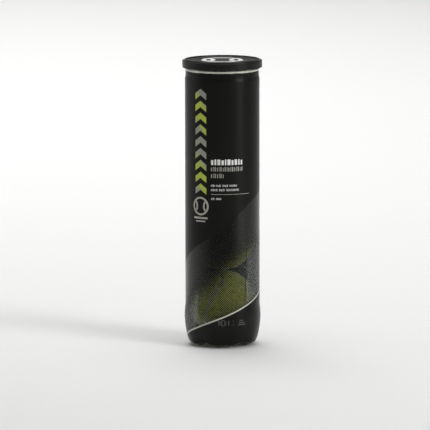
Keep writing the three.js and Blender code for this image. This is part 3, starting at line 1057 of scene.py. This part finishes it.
@dataclass
class Print:
    """The print on the film: blocks, chevrons and ball signs, each a skin of ink on the face."""

    sleeve: Sleeve
    lift: float = 0.02 * MM
    thickness: float = 0.04 * MM
    strip: float = 1.2

    def wrapped(self, loops: list[Profile]) -> bmesh.types.BMesh:
        """Lays flat shapes round the can.

        Args:
            loops: Outlines in millimetres: the length round the can from its front, and the height.

        Returns:
            The skin of ink.
        """
        bm = plate([[(x, y) for x, y in loop] for loop in loops], self.thickness / MM)
        reach = [vert.co.x for vert in bm.verts]
        cut = math.floor(min(reach)) + self.strip
        while cut < max(reach):
            whole = [*bm.verts, *bm.edges, *bm.faces]
            bmesh.ops.bisect_plane(bm, geom=whole, plane_co=(cut, 0, 0), plane_no=(1, 0, 0), dist=1e-5)
            cut += self.strip
        for vert in bm.verts:
            turn = vert.co.x * MM / self.sleeve.face
            height = vert.co.y * MM
            out = self.sleeve.radius_at(turn, height) + self.lift + vert.co.z * MM
            vert.co = (out * math.sin(turn), -out * math.cos(turn), height)
        bmesh.ops.recalc_face_normals(bm, faces=bm.faces)
        return bm

    def lay(self, name: str, loops: list[Profile], ink: bpy.types.Material) -> None:
        """Makes one group of print.

        Args:
            name: The piece's name.
            loops: Its outlines.
            ink: Its finish.
        """
        make_piece(name, self.wrapped(loops), ink, Place("can", "printed_film"))

    def banner(self) -> list[Profile]:
        """The tall column of chevrons left of the front."""
        left, width, low, pitch, rise, thick = -29.6, 13.1, 155.2, 11.8, 4.7, 6.3
        made = []
        for number in range(9):
            foot = low + pitch * number
            edge = [(left, foot), (left + width / 2, foot + rise), (left + width, foot)]
            made.append(edge + [(x, y + thick) for x, y in reversed(edge)])
        return made

    def build(self) -> None:
        """Makes all the print."""
        lime = Ink("ink_lime", (0.34, 0.34, 0.29), (0.50, 0.60, 0.06)).material()
        grey = Ink("ink_grey", (0.44, 0.43, 0.36), (0.54, 0.53, 0.46)).material()
        white = Ink("ink_white", (0.86, 0.86, 0.83), (0.93, 0.93, 0.91)).material()
        self.lay("print_banner", self.banner(), lime)
        sign = ball_mark((-23.3, 143.4), 9.3, 1.9)
        sign += [bar(-31.5, 130.6, 16.4, 1.9), bar(-29.0, 127.6, 11.4, 1.3)]
        self.lay("print_ball_sign", sign, grey)
        heading = Row(-11.5, 185.2, 32.2, 5.6, Weight.BOLD).loops()
        self.lay("print_heading", heading, white)
        lines = Row(-11.5, 178.9, 33.5, 4.4, Weight.LIGHT).loops()
        lines += Row(-11.5, 172.2, 14.0, 4.4, Weight.LIGHT).loops()
        lines += [bar(-11.3, 155.6, 40.5, 0.4)]
        self.lay("print_lines", lines, grey)
        small = Row(-11.5, 163.5, 26.5, 2.1, Weight.FINE, (4, 9, 15)).loops()
        small += Row(-11.5, 159.2, 28.5, 2.2, Weight.FINE, (6, 12)).loops()
        small += Row(-11.2, 150.4, 10.2, 2.0, Weight.FINE, (3,)).loops()
        self.lay("print_small", small, white)
        foot = [*ball_mark((0.6, 26.6), 3.1, 0.7), bar(-4.2, 24.2, 1.0, 4.8), bar(5.4, 24.2, 1.0, 4.8)]
        foot += [bar(10.3, 23.6, 0.35, 6.2)]
        foot += [*bar_stack(15.6, 23.8, 8.4)]
        dim = Ink("ink_dim", (0.055, 0.055, 0.048), (0.085, 0.085, 0.075)).material()
        self.lay("print_foot_marks", foot, dim)
        self.lay("print_back_panel", self.back_panel(), white)

    def back_panel(self) -> list[Profile]:
        """Rows of fine blocks and a block of stripes on the back."""
        made = []
        start = math.pi * self.sleeve.face / MM - 24
        for number in range(9):
            shorter = 9 if number % 4 == 3 else 0
            made += Row(start, 235 - 4.2 * number, 46 - shorter, 1.9, Weight.FINE, (number + 3, 14)).loops()
        along = 0.0
        for number in range(26):
            width = (0.9, 0.45, 1.3, 0.6, 0.45)[number % 5]
            made.append(bar(start + 6 + along, 172, width, 15))
            along += width + (0.6, 0.9, 0.5)[number % 3]
        made += ball_mark((start + 23, 150), 9, 1.4)
        return made


def bar_stack(left: float, low: float, width: float) -> list[Profile]:
    """Three slanted stripes on top of each other."""
    return [bar(left + 0.5 * i, low + 2.1 * i, width - 2.2 * i, 1.3, 0.5) for i in range(3)]


# ---- Metal end -----------------------------------------------------------------------------------


@dataclass(frozen=True)
class Pressed:
    """A line pressed into the panel's sheet: its place, its half width and how far it rises."""

    place: float
    half_width: float
    rise: float

    def at(self, distance: float) -> float:
        """The sheet's rise at a distance measured the same way as the line's place."""
        return self.rise * math.exp(-(((distance - self.place) / self.half_width) ** 2))


@dataclass
class MetalEnd:
    """The seamed ring that stays on the bottle, and the panel that tears out of it.

    The edge groove, the edge bead and the score are placed from the panel's edge inwards, the inner ring
    from the can's axis and the ribs from the middle sideways.
    """

    seam: float
    bottom: float
    top: float
    panel: float
    sheet: float = 0.35 * MM
    neck: float = 36.3 * MM
    chuck: float = 35.05 * MM
    mouth: float = 34.0 * MM
    edge_groove: Pressed = Pressed(3 * MM, 0.55 * MM, -0.5 * MM)
    edge_bead: Pressed = Pressed(5.2 * MM, 0.7 * MM, 0.16 * MM)
    score: Pressed = Pressed(0.55 * MM, 0.2 * MM, -0.12 * MM)
    inner_ring: Pressed = Pressed(12.5 * MM, 0.8 * MM, -0.16 * MM)
    inner_ring_front: float = -8 * MM
    rib: Pressed = Pressed(19 * MM, 1.1 * MM, -0.28 * MM)
    rib_middle: float = -2 * MM
    rib_reach: float = 11 * MM
    well_radius: float = 9 * MM
    well_floor: float = 0.3
    well_depth: float = 1.5 * MM
    around: int = 200
    finish: SheetMetal = field(default_factory=lambda: SheetMetal("end_metal"))

    def ring(self) -> bmesh.types.BMesh:
        """The double seam, the chuck wall and the ledge round the mouth."""
        sheet, fit = self.sheet, 0.3 * MM
        outer = self.chuck + sheet
        corners = [
            (self.neck + fit, self.bottom, 0.1 * MM),
            (self.seam, self.bottom, 0.55 * MM),
            (self.seam, self.top, 0.8 * MM),
            (self.chuck, self.top, 0.8 * MM),
            (self.chuck, self.panel, 0.35 * MM),
            (self.mouth, self.panel, 0.1 * MM),
            (self.mouth, self.panel - sheet, 0.1 * MM),
            (outer, self.panel - sheet, 0.5 * MM),
            (outer, self.top - sheet, 0.4 * MM),
            (self.seam - sheet, self.top - sheet, 0.4 * MM),
            (self.seam - sheet, self.bottom + sheet, 0.2 * MM),
            (self.neck + fit, self.bottom + sheet, 0.1 * MM),
        ]
        return spun(rounded(corners, 5), self.around)

    def relief(self, x: float, y: float, radius: float, tab_end: float) -> float:
        """How far the panel's sheet is pressed up or down, in metres.

        Args:
            x: The place across the can.
            y: The place from front to back.
            radius: The panel's radius.
            tab_end: Where the pull tab's ring ends, over the finger well.

        Returns:
            The height over the flat sheet.
        """
        out = math.hypot(x, y)
        inside = radius - out
        rise = self.edge_groove.at(inside) + self.edge_bead.at(inside)
        if y > self.inner_ring_front:
            rise += self.inner_ring.at(out)
        past_rib = max(abs(y - self.rib_middle) - self.rib_reach, 0) / self.rib.half_width
        rise += self.rib.at(abs(x)) * math.exp(-(past_rib**2))
        if abs(inside - self.score.place) < self.score.half_width:
            rise += self.score.rise
        well = math.hypot(x, y - tab_end) / self.well_radius
        return rise - self.well_depth * (1 - eased((well - self.well_floor) / (1 - self.well_floor)))

    def disc(self, tab_end: float) -> bmesh.types.BMesh:
        """The panel that tears out."""
        radius = self.mouth - 0.12 * MM
        reach = [radius * step / 60 for step in range(61)]
        lower = [(r, self.panel - self.sheet) for r in reach]
        upper = [(r, self.panel) for r in reversed(reach)]
        bm = spun(lower + upper, self.around)
        for vert in bm.verts:
            vert.co.z += self.relief(vert.co.x, vert.co.y, radius, tab_end)
        return bm

    def rivet(self, y: float, head: float, head_bottom: float) -> bmesh.types.BMesh:
        """The rivet drawn up out of the panel.

        Args:
            y: Its place from front to back.
            head: The height of its top.
            head_bottom: The height of its head's underside.

        Returns:
            The rivet.
        """
        corners = [
            (0, self.panel - 0.1 * MM, 0),
            (2.9 * MM, self.panel - 0.1 * MM, 0),
            (2.1 * MM, self.panel + 0.25 * MM, 0.15 * MM),
            (2.1 * MM, head_bottom, 0),
            (3.1 * MM, head_bottom, 0.1 * MM),
            (3.1 * MM, head, 0.35 * MM),
            (1.5 * MM, head, 0.2 * MM),
            (1.2 * MM, head - 0.3 * MM, 0.2 * MM),
            (0, head - 0.3 * MM, 0),
        ]
        return placed(spun(rounded(corners, 4), 48), Matrix.Translation((0, y, 0)))

    def build(self, rivet_y: float, rivet_top: float, tab_end: float) -> None:
        """Makes the ring, the panel and its rivet.

        Args:
            rivet_y: The rivet's place from front to back.
            rivet_top: The height of its top.
            tab_end: Where the pull tab's ring ends.
        """
        metal = self.finish.material()
        make_piece("end_seam_ring", self.ring(), metal, Place("can", "end_metal", ("end_ring",)))
        panel = self.disc(tab_end)
        make_piece("end_panel_sheet", panel, metal, Place("end_panel", "end_metal", ("tear_panel",)))
        rivet = self.rivet(rivet_y, rivet_top, rivet_top - 0.5 * MM)
        make_piece("end_rivet", rivet, metal, Place("end_panel", "end_metal"))


@dataclass
class PullTab:
    """The lever that lifts, and the tongue that the rivet holds down."""

    low: Vector
    high: Vector
    tongue_low: Vector
    tongue_high: Vector
    nose: float = 7.4 * MM
    nose_rounding: float = 5 * MM
    hole: tuple[float, float] = (7.2 * MM, 6.3 * MM)
    rim: float = 1.7 * MM
    hole_rim: float = 1.3 * MM
    curl: float = 0.42 * MM
    rib: tuple[float, float, float] = (3.2 * MM, -16.9 * MM, -18.5 * MM)
    rivet_hole: float = 2.2 * MM
    clear: float = 0.45 * MM
    finish: SheetMetal = field(
        default_factory=lambda: SheetMetal("tab_metal", (0.84, 0.84, 0.845), 0.26, (9.0, 1.0, 1.0))
    )

    @property
    def ring_y(self) -> float:
        """The finger ring's middle."""
        return self.high.y - self.high.x

    def outline(self, inset: float = 0.0) -> Profile:
        """The lever's outline, from its ring round to its nose."""
        ring, middle = self.high.x - inset, self.ring_y
        turns = [math.pi * step / 24 for step in range(25)]
        nose_y = self.low.y + self.nose_rounding
        wide, tall = self.nose - inset, self.nose_rounding - inset
        loop = [(ring * math.cos(t), middle + ring * math.sin(t)) for t in turns]
        loop += [(-wide * math.cos(t), nose_y - tall * math.sin(t)) for t in turns]
        return loop

    def slot(self) -> Profile:
        """The cut that frees the tongue on three sides."""
        width = self.tongue_high.x + self.clear
        low, high = self.tongue_low.y - self.clear, self.tongue_high.y + self.clear
        return rounded([(-width, low, MM), (-width, high, MM), (width, high, MM), (width, low, MM)])

    def lever(self) -> bmesh.types.BMesh:
        """The lever: its flat web, the curled rims of its outline and its finger hole, and a rib."""
        bottom, thick = self.low.z, self.high.z - self.low.z
        wide, tall = self.hole
        hole = ellipse((0, self.ring_y), wide, tall)[::-1]
        hole_edge = ellipse((0, self.ring_y), wide + self.hole_rim, tall + self.hole_rim)
        side, back, front = self.rib
        rib = [(-side, back, MM), (side, back, MM), (side, front, MM), (-side, front, MM)]
        parts = [
            plate([self.outline(), hole, self.slot()], thick * 0.5, 0.1 * MM, bottom + thick * 0.2),
            plate([self.outline(), self.outline(self.rim)[::-1]], thick, self.curl, bottom),
            plate([hole_edge, hole], thick, self.curl, bottom),
            plate([rounded(rib)], 0.5 * MM, 0.2 * MM, bottom + thick * 0.6),
        ]
        return joined(parts)

    def tongue(self, rivet_y: float) -> bmesh.types.BMesh:
        """The tongue, with a hole for the rivet at rivet_y."""
        width, small, large = self.tongue_high.x, 0.8 * MM, 2.5 * MM
        low, high = self.tongue_low.y, self.tongue_high.y
        corners = [(-width, low, small), (width, low, small), (width, high, large), (-width, high, large)]
        hole = ellipse((0, rivet_y), self.rivet_hole, self.rivet_hole)
        thick = self.tongue_high.z - self.tongue_low.z
        return plate([rounded(corners), hole], thick, 0.08 * MM, self.tongue_low.z)

    def build(self, rivet_y: float) -> None:
        """Makes the lever and the tongue.

        Args:
            rivet_y: The rivet's place from front to back.
        """
        metal = self.finish.material()
        make_piece("pull_tab_lever", self.lever(), metal, Place("tab", "tab_metal", ("pull_tab",)))
        tongue = self.tongue(rivet_y)
        make_piece("pull_tab_tongue", tongue, metal, Place("end_panel", "tab_metal", ("tab_tongue",)))


# ---- Overcap -------------------------------------------------------------------------------------


@dataclass
class Overcap:
    """The black cap pushed over the metal end: a stepped top with a sunk panel, and a short skirt."""

    radius: float
    rim: float
    top: float
    wall: float = 1.2 * MM
    step: float = 1.1 * MM
    step_inset: float = 2.15 * MM
    ring_width: float = 1.6 * MM
    recess: float = 1 * MM
    gate_ring: float = 3 * MM
    panel_line: float = 27 * MM
    line_rise: float = 0.12 * MM
    around: int = 240
    finish: MouldedPlastic = field(default_factory=lambda: MouldedPlastic("cap_plastic"))

    def section(self) -> Profile:
        """The cap's section from the axis under its panel round to the axis on top."""
        inner, under = self.radius - self.wall, self.top - self.recess - self.wall
        ring = self.radius - self.step_inset
        ring_inner = ring - self.ring_width
        shoulder, panel = self.top - self.step, self.top - self.recess
        bead = self.rim + 1.3 * MM
        gate, line, line_top = self.gate_ring, self.panel_line, panel + self.line_rise
        corners = [
            (0, under, 0),
            (gate - 1 * MM, under, 0),
            (gate - 0.8 * MM, under - 0.15 * MM, 0.1 * MM),
            (gate - 0.2 * MM, under - 0.15 * MM, 0.1 * MM),
            (gate, under, 0),
            (inner, under, 0.5 * MM),
            (inner, bead + 0.5 * MM, 0.15 * MM),
            (inner - 0.3 * MM, bead, 0.2 * MM),
            (inner, bead - 0.7 * MM, 0.15 * MM),
            (inner + 0.3 * MM, self.rim, 0.1 * MM),
            (self.radius, self.rim, 0.25 * MM),
            *self.grooves(),
            (self.radius, shoulder, 0.45 * MM),
            (ring, shoulder, 0.3 * MM),
            (ring, self.top, 0.35 * MM),
            (ring_inner, self.top, 0.3 * MM),
            (ring_inner - 0.25 * MM, panel, 0.35 * MM),
            (line, panel, 0),
            (line - 0.2 * MM, line_top, 0.08 * MM),
            (line - 0.7 * MM, line_top, 0.08 * MM),
            (line - 0.9 * MM, panel, 0),
            (0, panel, 0),
        ]
        return rounded(corners, 4)

    def grooves(self) -> list[Corner]:
        """The fine lines round the skirt."""
        made = []
        for height in (1.5, 5.35):
            low = self.rim + height * MM
            for rise, depth in ((0, 0), (0.1, 0.1), (0.25, 0.1), (0.35, 0)):
                made.append((self.radius - depth * MM, low + rise * MM, 0.03 * MM if depth else 0))
        return made

    def build(self) -> None:
        """Makes the cap and the ball sign printed on its panel."""
        bm = spun(self.section(), self.around)
        make_piece("overcap_shell", bm, self.finish.material(), Place("cap", "cap_plastic", ("overcap",)), 35)
        panel = self.top - self.recess
        white = Ink("ink_cap_white", (0.86, 0.86, 0.84), (0.94, 0.94, 0.92)).material()
        loops = [[(x * MM, y * MM) for x, y in loop] for loop in ball_mark((0, 0), 20.8, 4.4)]
        sign = plate(loops, 0.05 * MM, 0, panel)
        make_piece("overcap_ball_sign", sign, white, Place("cap", "cap_plastic"))


# ---- Balls ---------------------------------------------------------------------------------------


@dataclass
class Ball:
    """A felt ball: two dog-bone panels, the rubber seam between them and the felt's loose fibres."""

    number: int
    height: float
    turn: tuple[float, float, float]
    radius: float = 33 * MM
    felt: float = 2.9 * MM
    seam_half: float = 1.35 * MM
    seam_sunk: float = 0.75 * MM
    bias: float = 0.3
    edge: float = 2.2 * MM
    edge_height: float = 0.42
    lumps: float = 0.22 * MM
    fibres: int = 5200

    @property
    def body(self) -> str:
        """The body that the ball's pieces ride on."""
        return f"ball_{self.number}"

    def place(self) -> Matrix:
        """From the ball's own frame to the can's."""
        return Matrix.Translation((0, 0, self.height)) @ Euler(self.turn, "ZYX").to_matrix().to_4x4()

    def from_seam(self, point: Vector) -> tuple[float, Vector]:
        """How far a point of the unit sphere is from the seam.

        Args:
            point: The point.

        Returns:
            The angle, negative on the panel over +Z, and the way in which it grows.
        """
        slope = Vector((2 * point.x, -2 * point.y, -self.bias))
        slope -= point * slope.dot(point)
        size = max(slope.length, 1e-6)
        return (point.x**2 - point.y**2 - self.bias * point.z) / size, slope / size

    def panel(self, side: int) -> bmesh.types.BMesh:
        """One felt panel.

        Args:
            side: 1 for the panel over +Z and -1 for the other.

        Returns:
            The panel, in the ball's own frame.
        """
        inset = (self.seam_half + 0.05 * MM) / self.radius
        bm = bmesh.new()
        bmesh.ops.create_icosphere(bm, subdivisions=6, radius=1)
        for vert in bm.verts:
            vert.co.normalize()
        outside = [vert for vert in bm.verts if side * self.from_seam(vert.co)[0] > -inset]
        bmesh.ops.delete(bm, geom=outside, context="VERTS")
        for vert in [vert for vert in bm.verts if vert.is_boundary]:
            for _ in range(5):
                angle, way = self.from_seam(vert.co)
                vert.co = (vert.co - way * (angle + side * inset)).normalized()
        inner = self.radius - self.felt
        for vert in bm.verts:
            inside = (-side * self.from_seam(vert.co)[0] - inset) * self.radius
            share = min(max(inside / self.edge, 0.0), 1.0)
            full = self.edge_height + (1 - self.edge_height) * math.sqrt(1 - (1 - share) ** 2)
            lump = noise.fractal(vert.co * 9 + Vector((self.number, side, 0)), 1.0, 2.0, 4)
            vert.co *= inner + self.felt * full - self.lumps * (0.4 - 0.6 * lump) * share
        bmesh.ops.extrude_face_region(bm, geom=list(bm.faces), use_keep_orig=True)
        bm.verts.ensure_lookup_table()
        for vert in list(bm.verts)[len(bm.verts) // 2 :]:
            vert.co = vert.co.normalized() * inner
        bmesh.ops.recalc_face_normals(bm, faces=bm.faces)
        return bm

    def seam_points(self, steps: int = 220) -> list[Vector]:
        """Points all along the seam, on the unit sphere."""
        points = []
        for step in range(steps):
            turn = FULL_TURN * step / steps
            point = Vector((math.cos(turn), math.sin(turn), 0.9 * math.cos(2 * turn))).normalized()
            for _ in range(30):
                angle, way = self.from_seam(point)
                point = (point - way * angle).normalized()
            points.append(point)
        return points

    def seam(self) -> bmesh.types.BMesh:
        """The rubber line, led along the seam."""
        points = self.seam_points()
        top, bottom = self.radius - self.seam_sunk, self.radius - self.felt + 0.1 * MM
        half = self.seam_half
        shape = [(-half, bottom), (-half, top - 0.25 * MM), (-half * 0.6, top - 0.04 * MM), (0, top)]
        shape += [(-across, out) for across, out in shape[-2::-1]]
        bm = bmesh.new()
        rings = []
        for i, point in enumerate(points):
            onward = (points[(i + 1) % len(points)] - points[i - 1]).normalized()
            aside = point.cross(onward).normalized()
            rings.append([bm.verts.new(point * out + aside * across) for across, out in shape])
        for i, ring in enumerate(rings):
            after = rings[(i + 1) % len(rings)]
            for j in range(len(shape)):
                k = (j + 1) % len(shape)
                bm.faces.new((ring[j], ring[k], after[k], after[j]))
        bmesh.ops.recalc_face_normals(bm, faces=bm.faces)
        return bm

    def fuzz(self) -> bmesh.types.BMesh:
        """The felt's loose fibres, as tapering slivers."""
        rng = np.random.default_rng(40 + self.number)
        bm = bmesh.new()
        made = 0
        while made < self.fibres:
            out = Vector(rng.normal(size=3)).normalized()
            if abs(self.from_seam(out)[0]) * self.radius < self.seam_half + 0.9 * MM:
                continue
            lean = Vector(rng.normal(size=3)) * 0.75
            lean -= out * lean.dot(out)
            length, width = rng.uniform(0.8, 1.7) * MM, 0.055 * MM
            aside = out.cross(lean).normalized() * width
            root = out * (self.radius - 0.35 * MM)
            middle = root + (out + lean * 0.5).normalized() * length * 0.55
            tip = middle + (out * 0.5 + lean).normalized() * length * 0.5
            thin = aside * 0.7
            places = (root - aside, root + aside, middle + thin, middle - thin, tip)
            verts = [bm.verts.new(place) for place in places]
            bm.faces.new(verts[:4])
            bm.faces.new((verts[3], verts[2], verts[4]))
            made += 1
        return bm

    def build(self, felt: bpy.types.Material, rubber: bpy.types.Material) -> None:
        """Makes the ball's pieces.

        Args:
            felt: The felt's finish.
            rubber: The seam's finish.
        """
        over, place = self.body, self.place()
        for name, side in (("a", 1), ("b", -1)):
            panel = placed(self.panel(side), place)
            make_piece(f"{over}_panel_{name}", panel, felt, Place(over, "felt", (f"{over}_felt_{name}",)), 60)
        seam = placed(self.seam(), place)
        make_piece(f"{over}_seam_line", seam, rubber, Place(over, "seam_rubber", (f"{over}_seam",)), 60)
        make_piece(f"{over}_fuzz", placed(self.fuzz(), place), felt, Place(over, "felt"), 60)


# ---- Studio --------------------------------------------------------------------------------------


@dataclass(frozen=True)
class Softbox:
    """A rectangular lamp, in metres and watts."""

    name: str
    place: tuple[float, float, float]
    aim: tuple[float, float, float]
    size: tuple[float, float]
    power: float
    spread: float = 180.0

    def build(self) -> None:
        """Makes the lamp and turns it to what it lights."""
        lamp = bpy.data.lights.new(self.name, "AREA")
        lamp.shape = "RECTANGLE"
        lamp.size, lamp.size_y = self.size
        lamp.energy = self.power
        lamp.spread = math.radians(self.spread)
        holder = bpy.data.objects.new(self.name, lamp)
        holder.location = self.place
        holder.rotation_euler = (Vector(self.aim) - Vector(self.place)).to_track_quat("-Z", "Y").to_euler()
        holder.visible_camera = False
        bpy.context.scene.collection.objects.link(holder)


@dataclass
class Studio:
    """The paper sweep, the lamps, the room's light and the camera."""

    floor_radius: float = 6.0
    wall_radius: float = 9.0
    wall_height: float = 3.0
    room: Color = (0.565, 0.56, 0.545)
    room_strength: float = 0.03
    distance: float = 4.5
    elevation: float = 8.1
    roll: float = -0.10
    lens: float = 376.5
    target: tuple[float, float, float] = (-0.0074, 0.0, 0.1301)
    softboxes: tuple[Softbox, ...] = (
        Softbox("overhead", (0.0, 0.2, 3.0), (0.0, 0.2, 0.0), (2.4, 2.4), 24.5, 120),
        Softbox("overhead_back", (-0.5, 2.9, 3.0), (-0.4, 2.9, 0.0), (3.6, 2.6), 60, 120),
        Softbox("key", (1.7, -1.3, 2.3), (0, 0, 0.1), (0.9, 0.9), 15),
        Softbox("right_front", (1.85, -1.2, 0.9), (0, 0, 0.15), (0.6, 1.4), 15),
        Softbox("left_side", (-2.2, 0.25, 0.9), (0, 0, 0.15), (1.4, 1.7), 5),
        Softbox("front_fill", (-0.3, -2.6, 2.8), (0, 0, 0.1), (1.8, 1.4), 3),
    )

    def sweep(self) -> None:
        """Makes the floor, curving up into a wall far from the can."""
        bend = [(self.floor_radius, 0), (self.wall_radius, 0), (self.wall_radius, self.wall_height)]
        curve = [Vector(place) for place in bend]
        profile = [(0.0, 0.0), (self.floor_radius / 2, 0.0)]
        for step in range(13):
            t = step / 12
            place = curve[0] * (1 - t) ** 2 + curve[1] * 2 * t * (1 - t) + curve[2] * t * t
            profile.append((place.x, place.y))
        bm = bmesh.new()
        verts = [bm.verts.new((r, 0, z)) for r, z in profile]
        edges = [bm.edges.new(pair) for pair in zip(verts, verts[1:])]
        bmesh.ops.spin(
            bm, geom=verts + edges, cent=(0, 0, 0), axis=UP, angle=FULL_TURN, steps=96, use_merge=True
        )
        bmesh.ops.remove_doubles(bm, verts=bm.verts, dist=1e-6)
        bmesh.ops.recalc_face_normals(bm, faces=bm.faces)
        mesh = bpy.data.meshes.new("studio_floor")
        bm.to_mesh(mesh)
        bm.free()
        mesh.shade_smooth()
        mesh.materials.append(StudioPaper().material())
        floor = bpy.data.objects.new("studio_floor", mesh)
        bpy.context.scene.collection.objects.link(floor)

    def world(self) -> None:
        """Gives the room an even, dim light."""
        world = bpy.data.worlds.new("room")
        world.use_nodes = True
        background = world.node_tree.nodes["Background"]
        background.inputs["Color"].default_value = (*self.room, 1)
        background.inputs["Strength"].default_value = self.room_strength
        bpy.context.scene.world = world

    def camera(self) -> None:
        """Makes the camera, in front of the can and a little over it."""
        data = bpy.data.cameras.new("camera")
        data.lens = self.lens
        data.sensor_width = 36
        data.clip_end = 50
        camera = bpy.data.objects.new("camera", data)
        rise = math.radians(self.elevation)
        aim = Vector(self.target)
        camera.location = aim + self.distance * Vector((0, -math.cos(rise), math.sin(rise)))
        turned = (aim - camera.location).to_track_quat("-Z", "Y").to_matrix()
        camera.rotation_euler = (turned @ Matrix.Rotation(math.radians(self.roll), 3, "Z")).to_euler()
        bpy.context.scene.collection.objects.link(camera)
        bpy.context.scene.camera = camera

    def build(self) -> None:
        """Makes the whole studio."""
        self.sweep()
        self.world()
        for softbox in self.softboxes:
            softbox.build()
        self.camera()
        bpy.context.scene.view_settings.view_transform = "Standard"


# ---- The can -------------------------------------------------------------------------------------


def dress_kept_nodes(rubber: bpy.types.Material, seal: bpy.types.Material) -> None:
    """Gives the CAD nodes that stay their finishes.

    Args:
        rubber: For the balls' hollow cores.
        seal: For the compound in the seam.
    """
    for name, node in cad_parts.items():
        if "_core_" in name:
            node.data.materials[0] = rubber
        elif name == "seam_seal":
            node.data.materials[0] = seal


def main() -> None:
    """Builds the can, piece by piece, and the studio round it."""
    logging.basicConfig(level=logging.INFO, format="%(name)s: %(message)s")
    _, sleeve_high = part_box("shrink_sleeve")
    cap_low, cap_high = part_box("overcap")
    ring_low, ring_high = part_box("end_ring")
    _, panel_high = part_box("tear_panel")
    tongue_low, tongue_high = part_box("tab_tongue")
    _, bottle_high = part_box("pet_bottle")
    neck = sleeve_high.z - 4.7 * MM
    shoulder = neck - 2.9 * MM
    base = Base(bottle_high.y - 0.9 * MM)
    Bottle(base, shoulder, neck, bottle_high.z).build()
    NeckBead(base.wall - 0.6 * MM, cap_low.z).build()
    sleeve = Sleeve(base, shoulder, neck, sleeve_high.z)
    sleeve.build()
    Print(sleeve).build()
    rivet_y = (tongue_low.y + tongue_high.y) / 2
    tab = PullTab(*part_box("pull_tab"), tongue_low, tongue_high)
    tab.build(rivet_y)
    end = MetalEnd(ring_high.x, ring_low.z, ring_high.z, tongue_low.z - 0.4 * MM)
    end.build(rivet_y, panel_high.z, tab.high.y)
    Overcap(cap_high.x, cap_low.z, cap_high.z).build()
    felt = Felt().material()
    line = Rubber("seam_rubber", (0.54, 0.53, 0.19), (0.64, 0.63, 0.27), 0.7).material()
    turns = ((0.35, 0.5, 0.2), (1.2, -0.4, 0.9), (-0.6, 0.9, 1.7), (2.1, 0.3, -0.8))
    for number, turn in enumerate(turns, 1):
        low = min(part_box(f"ball_{number}_core_{half}")[0].z for half in "ab")
        high = max(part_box(f"ball_{number}_core_{half}")[1].z for half in "ab")
        Ball(number, (low + high) / 2, turn).build(felt, line)
    core = Rubber("core_rubber", (0.030, 0.027, 0.024), (0.075, 0.070, 0.062)).material()
    seal = Rubber("seal_compound", (0.26, 0.25, 0.22), (0.38, 0.37, 0.33), 0.6).material()
    dress_kept_nodes(core, seal)
    Studio().build()


if __name__ == "__main__":
    main()
